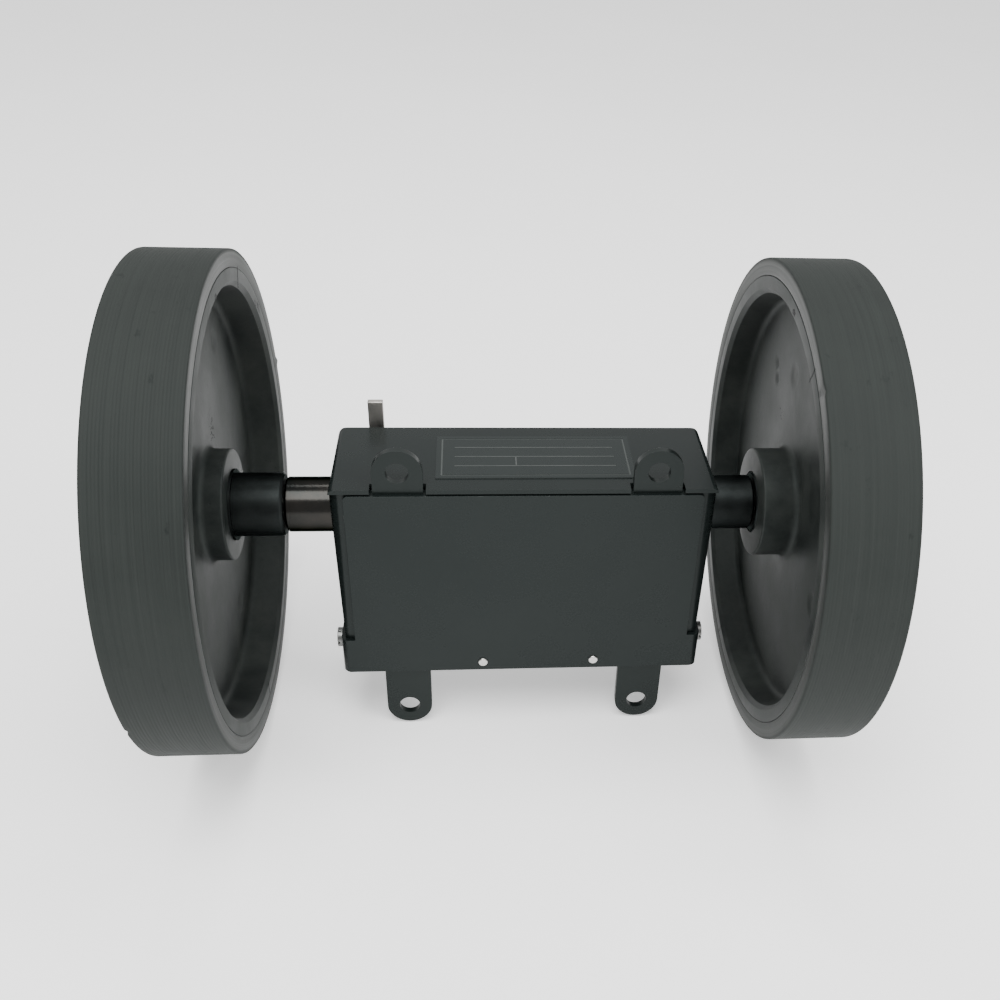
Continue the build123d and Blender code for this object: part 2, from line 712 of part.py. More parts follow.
idler_left_x = frame_left_x + 0.2
idler_right_x = drums_left_x - pinion_side_gap
idler_hub_bore = idler_shaft_radius + run_gap
idler_pinion_bore = idler_hub_radius + seat_gap
idler = gear_x(train_module, idler_teeth, idler_phase, idler_hub_bore, train_left_x, train_right_x, *idler_axis)
idler += tube_x(idler_hub_radius, idler_hub_bore, idler_left_x, idler_right_x, *idler_axis)
write("idler_gear", idler)
write("idler_pinion", gear_x(train_module, idler_pinion_teeth, idler_pinion_phase, idler_pinion_bore,
                             train_right_x, idler_right_x, *idler_axis))
idler_shaft_end_x = idler_right_x + 0.9
write("idler_shaft", rod_x(idler_shaft_radius, frame_left_x - frame_sheet, idler_shaft_end_x, *idler_axis))
write("idler_circlip", tube_x(idler_shaft_radius + clip_small_wall, idler_shaft_radius + seat_gap,
                              idler_right_x + 0.2, idler_right_x + 0.2 + clip_small_width, *idler_axis))

# ---------------------------------------------------------------- drums
drum_bore = drum_shaft_radius + run_gap
drum_phase = aim(drum_axis, pinion_axis)
pinion_phase = mesh_phase(drum_axis, pinion_axis, pinion_teeth)


def heart_outline():
    """Heart cam outline, lowest at the top."""
    count = 24
    points = []
    for step in range(count):
        angle = 2 * pi * step / count
        turn = abs(angle - pi) / pi
        radius = heart_high_radius - (heart_high_radius - heart_low_radius) * turn
        points.append(polar(radius, angle + pi / 2))
    return make_face(Polyline(*points, close=True))


def carry_outline():
    """Carry disc with its two transfer teeth."""
    outline = Circle(carry_radius)
    half = radians(carry_tooth_half_angle)
    for middle in (-2 * half, 2 * half):
        wedge = Polyline((0, 0), polar(carry_tooth_radius, middle - half / 2),
                         polar(carry_tooth_radius, middle + half / 2), close=True)
        outline += make_face(wedge)
    return outline


def drum(index):
    """One digit drum: driven gear, heart cam, digit rim on a web, carry disc."""
    start = drums_left_x + index * drum_pitch
    heart_x = start + drum_gear_width
    rim_x = heart_x + heart_width
    rim_end = rim_x + rim_width
    carry_end = rim_end + carry_width
    web_x = rim_x + drum_web
    hollow = Circle(drum_radius - drum_wall) - Circle(drum_hub_radius)
    body = tube_x(drum_radius, drum_bore, rim_x, rim_end, *drum_axis)
    body -= prism_x(Pos(*drum_axis) * hollow, web_x, rim_end - drum_web)
    body += prism_x(Pos(*drum_axis) * (heart_outline() - Circle(drum_bore)), heart_x, rim_x)
    if index < drum_count - 1:
        body += prism_x(Pos(*drum_axis) * (carry_outline() - Circle(drum_bore)), rim_end, carry_end)
    if index == 0:
        body += tube_x(drum_drive_hub_radius, drum_bore, start - drum_drive_width, heart_x, *drum_axis)
    else:
        body += gear_x(drum_module, drum_teeth, drum_phase, drum_bore, start, heart_x, *drum_axis)
    return body


for index in range(drum_count):
    write(f"drum_{index + 1}", drum(index))
write("drum_drive_gear", gear_x(train_module, drum_gear_teeth, drum_gear_phase, drum_drive_hub_radius + seat_gap,
                                drums_left_x - drum_drive_width, drums_left_x, *drum_axis))

frame_outer_left_x = frame_left_x - frame_sheet
frame_outer_right_x = frame_right_x + frame_sheet
end_clip_gap = 0.1
shaft_overhang = end_clip_gap + clip_small_width + 0.4
write("drum_shaft", rod_x(drum_shaft_radius, frame_outer_left_x - shaft_overhang,
                          frame_outer_right_x + shaft_overhang, *drum_axis))
write("pinion_shaft", rod_x(pinion_shaft_radius, frame_outer_left_x - shaft_overhang,
                            frame_outer_right_x + shaft_overhang, *pinion_axis))


def end_clips(radius, centre):
    """Two circlips outside the frame plates."""
    clips = []
    for side, face_x in ((-1, frame_outer_left_x), (1, frame_outer_right_x)):
        ends = sorted((face_x + side * end_clip_gap, face_x + side * (end_clip_gap + clip_small_width)))
        clips.append(tube_x(radius + clip_small_wall, radius + seat_gap, ends[0], ends[1], *centre))
    return clips


write("drum_shaft_circlips", end_clips(drum_shaft_radius, drum_axis))
write("pinion_shaft_circlips", end_clips(pinion_shaft_radius, pinion_axis))

pinion_bore = pinion_shaft_radius + run_gap
pinion_starts = []
pinion_width = carry_width + drum_end_gap + drum_gear_width - 2 * pinion_side_gap
for index in range(drum_count - 1):
    start = drums_left_x + (index + 1) * drum_pitch + drum_gear_width - pinion_side_gap - pinion_width
    pinion_starts.append(start)
    write(f"pinion_{index + 1}", gear_x(drum_module, pinion_teeth, pinion_phase, pinion_bore,
                                        start, start + pinion_width, *pinion_axis))
spacer_ends = [(frame_left_x + 0.1, pinion_starts[0] - 0.1)]
for start, following in zip(pinion_starts, pinion_starts[1:]):
    spacer_ends.append((start + pinion_width + 0.1, following - 0.1))
spacer_ends.append((pinion_starts[-1] + pinion_width + 0.1, frame_right_x - 0.1))
write("pinion_spacers", [tube_x(pinion_spacer_radius, pinion_shaft_radius + seat_gap, a, b, *pinion_axis)
                         for a, b in spacer_ends])

# ---------------------------------------------------------------- reset mechanism
reset_shaft_right_x = frame_outer_right_x + shaft_overhang
write("reset_shaft", rod_x(reset_shaft_radius, reset_shaft_left_x, reset_shaft_right_x, *reset_axis))

arm_low = reset_z + lever_arm_z
stem_front_y = lever_stem_y
lever_outline = FilletPolyline(
    (reset_y, arm_low + lever_sheet / 2),
    (stem_front_y - lever_sheet / 2, arm_low + lever_sheet / 2),
    (stem_front_y - lever_sheet / 2, lever_top_z),
    radius=lever_bend,
)
lever_strip = trace(lever_outline, lever_sheet)
lever_profile = lever_strip + Pos(*reset_axis) * Circle(lever_hub_radius)
lever_profile -= Pos(*reset_axis) * Circle(reset_shaft_radius + seat_gap)
write("reset_lever", prism_x(lever_profile, lever_x - lever_width / 2, lever_x + lever_width / 2))

hammer_profile = Pos(reset_y, reset_z - hammer_length / 2) * Rectangle(hammer_width, hammer_length)
hammer_profile -= Pos(*reset_axis) * Circle(reset_shaft_radius + seat_gap)
comb_left_x = drums_left_x + drum_gear_width - 0.8
comb_right_x = spring_left_x - spring_wire_radius - 0.2
comb = tube_x(hammer_hub_radius, reset_shaft_radius + seat_gap, comb_left_x, comb_right_x, *reset_axis)
for index in range(drum_count):
    middle = drums_left_x + index * drum_pitch + drum_gear_width + heart_width / 2
    comb += prism_x(hammer_profile, middle - hammer_thickness / 2, middle + hammer_thickness / 2)
write("reset_hammers", comb)

coil = Helix(spring_pitch, spring_length, spring_coil_radius)
wire = sweep(Plane(coil @ 0, z_dir=coil % 0) * Circle(spring_wire_radius), path=coil)
spring_frame = Plane(origin=(spring_left_x, reset_y, reset_z), x_dir=(0, 1, 0), z_dir=(1, 0, 0))
write("reset_spring", spring_frame * wire)
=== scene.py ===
"""Looks of the two-wheel length counter: rubber-tyred wheels, painted counter box, digits and studio."""

import json
from math import cos, pi, radians, sin

import bmesh
import bpy
from mathutils import Matrix, Vector


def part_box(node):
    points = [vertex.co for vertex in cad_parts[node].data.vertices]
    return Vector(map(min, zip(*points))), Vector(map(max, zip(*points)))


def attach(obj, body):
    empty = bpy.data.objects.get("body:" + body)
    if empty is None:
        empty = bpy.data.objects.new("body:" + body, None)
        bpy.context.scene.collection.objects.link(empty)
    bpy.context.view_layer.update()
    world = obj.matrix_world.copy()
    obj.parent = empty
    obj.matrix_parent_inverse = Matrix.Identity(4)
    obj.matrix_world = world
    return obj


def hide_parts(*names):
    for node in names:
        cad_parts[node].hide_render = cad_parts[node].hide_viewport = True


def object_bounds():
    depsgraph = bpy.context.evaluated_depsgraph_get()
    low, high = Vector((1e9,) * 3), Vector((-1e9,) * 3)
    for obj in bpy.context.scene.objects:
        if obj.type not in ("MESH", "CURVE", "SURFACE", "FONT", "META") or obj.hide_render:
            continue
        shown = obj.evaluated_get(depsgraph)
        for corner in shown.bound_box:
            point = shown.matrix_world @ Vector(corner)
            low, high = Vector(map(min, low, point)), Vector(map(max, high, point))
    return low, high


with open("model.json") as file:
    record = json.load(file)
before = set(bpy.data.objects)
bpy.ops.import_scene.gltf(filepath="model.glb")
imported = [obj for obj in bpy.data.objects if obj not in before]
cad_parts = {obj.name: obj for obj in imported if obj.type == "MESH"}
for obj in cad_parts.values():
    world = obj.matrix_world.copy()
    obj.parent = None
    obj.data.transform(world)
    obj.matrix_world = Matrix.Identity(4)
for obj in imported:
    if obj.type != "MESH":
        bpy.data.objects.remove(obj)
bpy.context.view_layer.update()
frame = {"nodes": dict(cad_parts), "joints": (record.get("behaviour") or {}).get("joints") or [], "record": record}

MM = 0.001

# ---------------------------------------------------------------- sizes, in metres
TYRE_LOW, TYRE_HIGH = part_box("left_tyre")
AXIS_Y = (TYRE_LOW.y + TYRE_HIGH.y) / 2
AXIS_Z = (TYRE_LOW.z + TYRE_HIGH.z) / 2
WHEEL_RADIUS = (TYRE_HIGH.z - TYRE_LOW.z) / 2
WHEEL_WIDTH = TYRE_HIGH.x - TYRE_LOW.x
CORE_LOW, CORE_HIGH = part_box("left_wheel_core")
CORE_RADIUS = (CORE_HIGH.z - CORE_LOW.z) / 2
TYRE_BORE = CORE_RADIUS + 0.02 * MM

LIP_RADIUS = CORE_RADIUS - 3.6 * MM
LIP_CHAMFER = 0.9 * MM
RIM_DRAFT = 0.7 * MM
WEB_LEFT = -1.7 * MM
WEB_RIGHT = 0.7 * MM
WEB_FILLET = 1.6 * MM
BOSS_RADIUS = 12.0 * MM
BOSS_LEFT = CORE_LOW.x - (TYRE_LOW.x + TYRE_HIGH.x) / 2
BOSS_RIGHT = 5.8 * MM
SLEEVE_BORE = 6.87 * MM
EDGE_ROUND = 0.35 * MM

GROOVE_PITCH = 0.62 * MM
GROOVE_DEPTH = {"left": 0.12 * MM, "right": 0.07 * MM}
TREAD_STEPS_PER_GROOVE = 4
TREAD_EDGE = 0.45 * MM
TYRE_SEGMENTS = 256
WHEEL_SEGMENTS = 288
ARC_STEPS = 4
WEB_STEP = 0.7 * MM
WEB_RIPPLE = 0.03 * MM
WEB_BAND = 2 * MM
SHORTEST_WEB = 20 * MM
NICK_BAND = 1.2 * MM
NICK_LEAN = 0.7
TYRE_EDGE_ANGLE = 50
WHEEL_EDGE_ANGLE = 32

DIGIT_HEIGHT = 4.3 * MM
DIGIT_LIFT = 0.02 * MM
DIGIT_THICKNESS = 0.04 * MM
DIGIT_STEP = 0.3 * MM
DIGITS_ON_A_DRUM = 10
DRUM_COUNT = 5
DRUM_RADIUS = 9.0 * MM
DRUM_GEAR_WIDTH = 1.6 * MM
HEART_WIDTH = 2.0 * MM
DRUM_RIM_WIDTH = 5.3 * MM

# ---------------------------------------------------------------- node helpers


def add(tree, kind, **values):
    """Add a node; keywords set its properties, or its inputs by socket name."""
    node = tree.nodes.new(kind)
    for key, value in values.items():
        label = key.replace("_", " ").title() if not hasattr(node, key) else key
        if hasattr(node, key):
            setattr(node, key, value)
        else:
            node.inputs[label].default_value = value
    return node


def put(tree, value, socket):
    """Link an output into an input, or set a plain value on it."""
    if hasattr(value, "is_output"):
        tree.links.new(value, socket)
    else:
        socket.default_value = value


def math_node(tree, operation, first, second=0.0, third=0.0):
    """One Math node; returns its output."""
    node = tree.nodes.new("ShaderNodeMath")
    node.operation = operation
    for socket, value in zip(node.inputs, (first, second, third)):
        put(tree, value, socket)
    return node.outputs[0]


def noise(tree, vector, scale, detail=3.0, roughness=0.55):
    """Noise between 0 and 1 on a vector; returns its factor."""
    node = add(tree, "ShaderNodeTexNoise")
    node.inputs["Scale"].default_value = scale
    node.inputs["Detail"].default_value = detail
    node.inputs["Roughness"].default_value = roughness
    tree.links.new(vector, node.inputs["Vector"])
    return node.outputs["Fac"]


def span(tree, value, low, high, to_low=0.0, to_high=1.0):
    """Map a value from one range to another, clamped; returns its output."""
    node = add(tree, "ShaderNodeMapRange")
    for index, item in enumerate((value, low, high, to_low, to_high)):
        put(tree, item, node.inputs[index])
    return node.outputs[0]


def tint(tree, factor, first, second):
    """Mix two colours by a factor; returns the colour."""
    node = add(tree, "ShaderNodeMix", data_type="RGBA")
    put(tree, factor, node.inputs[0])
    put(tree, first, node.inputs[6])
    put(tree, second, node.inputs[7])
    return node.outputs[2]


def scaled(tree, vector, factors):
    """Stretch a vector, so that a pattern runs along one direction."""
    node = add(tree, "ShaderNodeMapping")
    node.inputs["Scale"].default_value = factors
    tree.links.new(vector, node.inputs["Vector"])
    return node.outputs["Vector"]


def object_place(tree):
    """Object coordinates, which are the row frame in metres."""
    return add(tree, "ShaderNodeTexCoord").outputs["Object"]


def about_shaft(tree, place):
    """Split a place into x along the wheel shaft, y and z from its axis, and the radius about it."""
    parts = add(tree, "ShaderNodeSeparateXYZ")
    tree.links.new(place, parts.inputs[0])
    y = math_node(tree, "SUBTRACT", parts.outputs["Y"], AXIS_Y)
    z = math_node(tree, "SUBTRACT", parts.outputs["Z"], AXIS_Z)
    squares = math_node(tree, "MULTIPLY_ADD", y, y, math_node(tree, "MULTIPLY", z, z))
    radius = math_node(tree, "SQRT", squares)
    return parts.outputs["X"], y, z, radius


def shader_group(name, inputs, outputs):
    """New shader node group; inputs are (name, default) pairs, outputs are (name, kind) pairs."""
    tree = bpy.data.node_groups.new(name, "ShaderNodeTree")
    for label, default in inputs:
        kind = "NodeSocketColor" if isinstance(default, tuple) else "NodeSocketFloat"
        socket = tree.interface.new_socket(label, in_out="INPUT", socket_type=kind)
        socket.default_value = default
    for label, kind in outputs:
        tree.interface.new_socket(label, in_out="OUTPUT", socket_type=kind)
    return tree, tree.nodes.new("NodeGroupInput").outputs, tree.nodes.new("NodeGroupOutput").inputs


def geometry_tree(name, inputs):
    """New geometry tree; inputs are (name, kind, default) rows. Returns it, its inputs and its outputs."""
    tree = bpy.data.node_groups.new(name, "GeometryNodeTree")
    tree.interface.new_socket("Geometry", in_out="INPUT", socket_type="NodeSocketGeometry")
    for label, kind, default in inputs:
        socket = tree.interface.new_socket(label, in_out="INPUT", socket_type=f"NodeSocket{kind}")
        if default is not None:
            socket.default_value = default
    tree.interface.new_socket("Geometry", in_out="OUTPUT", socket_type="NodeSocketGeometry")
    return tree, tree.nodes.new("NodeGroupInput").outputs, tree.nodes.new("NodeGroupOutput").inputs


def close_geometry_tree(tree, geometry, material, result):
    """End a geometry tree in Realize Instances and Set Material."""
    real = tree.nodes.new("GeometryNodeRealizeInstances")
    tree.links.new(geometry, real.inputs[0])
    finish = tree.nodes.new("GeometryNodeSetMaterial")
    tree.links.new(real.outputs[0], finish.inputs["Geometry"])
    tree.links.new(material, finish.inputs["Material"])
    tree.links.new(finish.outputs[0], result["Geometry"])


def own_position(tree):
    """Position of each point in a geometry tree."""
    return tree.nodes.new("GeometryNodeInputPosition").outputs[0]


# ---------------------------------------------------------------- shared surface effects


def make_patina_group():
    """Large soft blotches plus fine specks: colour and roughness both drift with them."""
    tree, given, result = shader_group(
        "patina",
        [("Colour", (0.1, 0.1, 0.1, 1.0)), ("Dusty Colour", (0.2, 0.2, 0.2, 1.0)), ("Blotch Scale", 60.0),
         ("Amount", 0.5), ("Roughness Low", 0.3), ("Roughness High", 0.5)],
        [("Colour", "NodeSocketColor"), ("Roughness", "NodeSocketFloat"), ("Height", "NodeSocketFloat")],
    )
    place = object_place(tree)
    blotch = noise(tree, place, 60.0, detail=4.0)
    tree.links.new(given["Blotch Scale"], blotch.node.inputs["Scale"])
    speck = noise(tree, place, 2600.0, detail=2.0, roughness=0.7)
    cloud = span(tree, blotch, 0.38, 0.68)
    speckle = span(tree, speck, 0.45, 0.75)
    specked_cloud = math_node(tree, "MULTIPLY_ADD", speckle, 0.35, cloud)
    dust = math_node(tree, "MULTIPLY", given["Amount"], specked_cloud)
    tree.links.new(tint(tree, dust, given["Colour"], given["Dusty Colour"]), result["Colour"])
    mixed = math_node(tree, "MULTIPLY_ADD", speckle, 0.3, math_node(tree, "MULTIPLY", cloud, 0.7))
    rough = span(tree, mixed, 0.0, 1.0, given["Roughness Low"], given["Roughness High"])
    tree.links.new(rough, result["Roughness"])
    tree.links.new(math_node(tree, "MULTIPLY_ADD", speck, 0.6, math_node(tree, "MULTIPLY", blotch, 0.4)),
                   result["Height"])
    return tree


def make_rubbed_group():
    """Mask of the patches where a finish is rubbed through; Cover is the share of the surface."""
    tree, given, result = shader_group(
        "rubbed", [("Scale", 420.0), ("Cover", 0.2)], [("Mask", "NodeSocketFloat")])
    patch = noise(tree, object_place(tree), 420.0, detail=5.0, roughness=0.65)
    tree.links.new(given["Scale"], patch.node.inputs["Scale"])
    start = math_node(tree, "SUBTRACT", 0.72, math_node(tree, "MULTIPLY", given["Cover"], 0.4))
    tree.links.new(span(tree, patch, start, math_node(tree, "ADD", start, 0.06)), result["Mask"])
    return tree


def make_turned_group():
    """Fine rings about the wheel shaft, as a lathe or a moulding tool leaves them."""
    tree, given, result = shader_group(
        "turned_rings", [("Ring Scale", 900.0), ("Waver", 0.15)],
        [("Height", "NodeSocketFloat"), ("Radius", "NodeSocketFloat")])
    x, y, z, radius = about_shaft(tree, object_place(tree))
    ring = add(tree, "ShaderNodeCombineXYZ")
    tree.links.new(radius, ring.inputs["X"])
    tree.links.new(x, ring.inputs["Y"])
    angle = math_node(tree, "MULTIPLY", math_node(tree, "ARCTAN2", z, y), 0.001)
    tree.links.new(math_node(tree, "MULTIPLY", angle, given["Waver"]), ring.inputs["Z"])
    fine = noise(tree, ring.outputs[0], 900.0, detail=4.0, roughness=0.7)
    tree.links.new(given["Ring Scale"], fine.node.inputs["Scale"])
    tree.links.new(fine, result["Height"])
    tree.links.new(radius, result["Radius"])
    return tree


PATINA = make_patina_group()
RUBBED = make_rubbed_group()
TURNED = make_turned_group()


def placed_group(tree, group, **values):
    """Place a shader node group with its own values."""
    node = tree.nodes.new("ShaderNodeGroup")
    node.node_tree = group
    for key, value in values.items():
        put(tree, value, node.inputs[key.replace("_", " ").title()])
    return node


# ---------------------------------------------------------------- materials
BARE_STEEL = (0.12, 0.125, 0.12, 1.0)
# metal colour of the nameplate's cut lines and rules; on the floors of the cut lines it also paints light against
# the groove shade
ENGRAVED_METAL_AND_GROOVE_LIGHT = (0.045, 0.05, 0.048, 1.0)
COOL_SHEEN = (0.92, 1.0, 0.975, 1.0)
WHITE = (1.0, 1.0, 1.0, 1.0)
ENAMEL_GLOSS = 0.17
PEEL_DEPTH = 0.006 * MM
SCRATCH_DEPTH = 0.01 * MM
FLOOR_GLOW = 0.45


def new_material(name):
    """Material with an empty Principled surface; returns the material, its tree and the shader."""
    material = bpy.data.materials.new(name)
    material.use_nodes = True
    tree = material.node_tree
    shader = tree.nodes["Principled BSDF"]
    return material, tree, shader


def set_bump(tree, shader, height, distance):
    """Feed a height into the shader's normal; distance is in metres."""
    bump = add(tree, "ShaderNodeBump")
    bump.inputs["Strength"].default_value = 1.0
    bump.inputs["Distance"].default_value = distance
    tree.links.new(height, bump.inputs["Height"])
    tree.links.new(bump.outputs["Normal"], shader.inputs["Normal"])


def patina_material(name, colour, dusty, rough, blotch, amount):
    """Material whose colour and roughness drift; returns it, its tree, the shader and the patina node."""
    material, tree, shader = new_material(name)
    patina = placed_group(tree, PATINA, Colour=colour, Dusty_Colour=dusty, Blotch_Scale=blotch,
                          Amount=amount, Roughness_Low=rough[0], Roughness_High=rough[1])
    tree.links.new(patina.outputs["Colour"], shader.inputs["Base Color"])
    tree.links.new(patina.outputs["Roughness"], shader.inputs["Roughness"])
    return material, tree, shader, patina


def satin_enamel(name, colour, dusty, rough, rubbed=0.0):
    """Sprayed enamel on sheet steel: faint orange peel, dust specks, and bare steel where it is rubbed."""
    material, tree, shader, patina = patina_material(name, colour, dusty, rough, 38.0, 0.35)
    if rubbed:
        wear = placed_group(tree, RUBBED, Scale=380.0, Cover=rubbed)
        skin = tint(tree, wear.outputs["Mask"], patina.outputs["Colour"], BARE_STEEL)
        tree.links.new(skin, shader.inputs["Base Color"])
    shader.inputs["Specular IOR Level"].default_value = ENAMEL_GLOSS
    shader.inputs["Specular Tint"].default_value = COOL_SHEEN
    place = object_place(tree)
    orange_peel = noise(tree, place, 900.0, detail=2.0)
    grit = noise(tree, place, 4200.0, detail=1.0)
    set_bump(tree, shader, math_node(tree, "MULTIPLY_ADD", grit, 0.25, orange_peel), PEEL_DEPTH)
    return material


def nameplate_enamel():
    """Enamelled plate whose cut lines are lighter at their floor: bare metal showing, and painted light against
    the shade in the grooves.
    """
    material = satin_enamel("nameplate_enamel", (0.011, 0.0145, 0.014, 1.0), (0.018, 0.022, 0.021, 1.0),
                            (0.25, 0.34))
    tree = material.node_tree
    shader = tree.nodes["Principled BSDF"]
    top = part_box("nameplate")[1].z
    parts = add(tree, "ShaderNodeSeparateXYZ")
    tree.links.new(object_place(tree), parts.inputs[0])
    # the floors of the cut lines take a lighter colour: bare metal, and painted light that offsets the shade in
    # the grooves
    engraved = span(tree, parts.outputs["Z"], top - 0.05 * MM, top - 0.02 * MM, 1.0, 0.0)
    enamel = shader.inputs["Base Color"].links[0].from_socket
    tree.links.new(tint(tree, engraved, enamel, ENGRAVED_METAL_AND_GROOVE_LIGHT), shader.inputs["Base Color"])
    return material


def ground_rubber():
    """Dark tyre rubber, ground round its tread, with a chalky bloom and small scuffs."""
    material, tree, shader = new_material("ground_rubber")
    rings = placed_group(tree, TURNED, Ring_Scale=1500.0, Waver=0.4)
    place = object_place(tree)
    bloom = span(tree, noise(tree, place, 45.0, detail=5.0), 0.35, 0.7)
    ring_tone = span(tree, rings.outputs["Height"], 0.3, 0.7)
    tone = math_node(tree, "MULTIPLY_ADD", ring_tone, 0.55, math_node(tree, "MULTIPLY", bloom, 0.45))
    base = tint(tree, tone, (0.0105, 0.0124, 0.0114, 1.0), (0.021, 0.0238, 0.022, 1.0))
    tread = span(tree, rings.outputs["Radius"], WHEEL_RADIUS - 0.9 * MM, WHEEL_RADIUS - 0.3 * MM)
    side = tint(tree, bloom, (0.0135, 0.0152, 0.014, 1.0), (0.027, 0.0295, 0.027, 1.0))
    colour = tint(tree, tread, side, base)
    scuff = span(tree, noise(tree, scaled(tree, place, (1.0, 1.0, 0.5)), 210.0, detail=6.0, roughness=0.72),
                 0.62, 0.72)
    colour = tint(tree, math_node(tree, "MULTIPLY", scuff, 0.85), colour, (0.006, 0.0075, 0.007, 1.0))
    tree.links.new(colour, shader.inputs["Base Color"])
    rough = span(tree, tone, 0.0, 1.0, 0.62, 0.8)
    smoother_side = math_node(tree, "MULTIPLY", math_node(tree, "SUBTRACT", 1.0, tread), 0.2)
    tree.links.new(math_node(tree, "SUBTRACT", rough, smoother_side), shader.inputs["Roughness"])
    shader.inputs["Specular IOR Level"].default_value = 0.2
    shader.inputs["Specular Tint"].default_value = COOL_SHEEN
    grain = noise(tree, place, 5200.0, detail=2.0, roughness=0.7)
    height = math_node(tree, "MULTIPLY_ADD", rings.outputs["Height"], 0.7,
                       math_node(tree, "MULTIPLY", grain, 0.3))
    set_bump(tree, shader, height, 0.035 * MM)
    return material


def satin_moulding():
    """Black moulded wheel body: satin skin with flow marks, pits and a hazy bloom."""
    material, tree, shader = new_material("satin_moulding")
    place = object_place(tree)
    flow = noise(tree, place, 70.0, detail=6.0, roughness=0.62)
    haze = span(tree, flow, 0.36, 0.68)
    grain = noise(tree, place, 1500.0, detail=3.0, roughness=0.7)
    speck = span(tree, noise(tree, place, 1900.0, detail=3.0, roughness=0.7), 0.62, 0.72)
    colour = tint(tree, haze, (0.0048, 0.0066, 0.0063, 1.0), (0.0235, 0.0265, 0.0242, 1.0))
    colour = tint(tree, math_node(tree, "MULTIPLY", speck, 0.6), colour, (0.005, 0.006, 0.006, 1.0))
    tree.links.new(colour, shader.inputs["Base Color"])
    rough = span(tree, math_node(tree, "MULTIPLY_ADD", speck, 0.35, haze), 0.0, 1.2, 0.48, 0.66)
    tree.links.new(rough, shader.inputs["Roughness"])
    shader.inputs["Specular IOR Level"].default_value = 0.2
    shader.inputs["Specular Tint"].default_value = COOL_SHEEN
    pits = span(tree, noise(tree, place, 620.0, detail=4.0, roughness=0.6), 0.66, 0.74)
    height = math_node(tree, "MULTIPLY_ADD", grain, 0.3,
                       math_node(tree, "MULTIPLY_ADD", flow, 1.2, math_node(tree, "MULTIPLY", pits, -0.6)))
    set_bump(tree, shader, height, 0.05 * MM)
    return material


def turned_steel(name, colour, second, rough, ring_scale, depth=0.012 * MM, edge_sheen=WHITE):
    """Steel turned about the wheel shaft, with fine tool rings and a thin oxide."""
    material, tree, shader, patina = patina_material(name, colour, second, rough, 120.0, 0.7)
    rings = placed_group(tree, TURNED, Ring_Scale=ring_scale, Waver=0.3)
    shader.inputs["Metallic"].default_value = 1.0
    shader.inputs["Specular Tint"].default_value = edge_sheen
    height = math_node(tree, "MULTIPLY_ADD", rings.outputs["Height"], 0.8,
                       math_node(tree, "MULTIPLY", patina.outputs["Height"], 0.2))
    set_bump(tree, shader, height, depth)
    return material


def plated_steel(name, colour, second, rough, along=(1.0, 1.0, 1.0)):
    """Plated or dull steel with scratches that run along one direction."""
    material, tree, shader, patina = patina_material(name, colour, second, rough, 160.0, 0.8)
    streaks = noise(tree, scaled(tree, object_place(tree), along), 2600.0, detail=4.0, roughness=0.65)
    shader.inputs["Metallic"].default_value = 1.0
    height = math_node(tree, "MULTIPLY_ADD", streaks, 0.7,
                       math_node(tree, "MULTIPLY", patina.outputs["Height"], 0.3))
    set_bump(tree, shader, height, SCRATCH_DEPTH)
    return material


def plain_moulding(name, colour, second, rough, gloss=0.3):
    """Small plastic mouldings: drums, digits and pinions."""
    material, tree, shader, patina = patina_material(name, colour, second, rough, 220.0, 0.6)
    shader.inputs["Specular IOR Level"].default_value = gloss
    set_bump(tree, shader, patina.outputs["Height"], 0.008 * MM)
    return material


def clear_window():
    """Clear polished cover with faint wiping scratches."""
    material, tree, shader = new_material("clear_window")
    place = object_place(tree)
    smear = noise(tree, scaled(tree, place, (0.3, 1.0, 1.0)), 260.0, detail=5.0)
    tree.links.new(span(tree, smear, 0.3, 0.8, 0.0, 0.035), shader.inputs["Roughness"])
    shader.inputs["Base Color"].default_value = (0.93, 0.96, 0.95, 1.0)
    shader.inputs["IOR"].default_value = 1.49
    shader.inputs["Specular IOR Level"].default_value = 0.25
    shader.inputs["Transmission Weight"].default_value = 1.0
    set_bump(tree, shader, smear, 0.001 * MM)
    return material


def pale_floor_paint():
    """Plain pale studio floor."""
    material, tree, shader = new_material("pale_floor")
    tone = span(tree, noise(tree, object_place(tree), 6.0, detail=3.0), 0.3, 0.7)
    paint = tint(tree, tone, (0.9, 0.9, 0.9, 1.0), (0.93, 0.93, 0.93, 1.0))
    tree.links.new(paint, shader.inputs["Base Color"])
    shader.inputs["Roughness"].default_value = 0.9
    shader.inputs["Specular IOR Level"].default_value = 0.1
    shader.inputs["Emission Color"].default_value = WHITE
    shader.inputs["Emission Strength"].default_value = FLOOR_GLOW
    return material


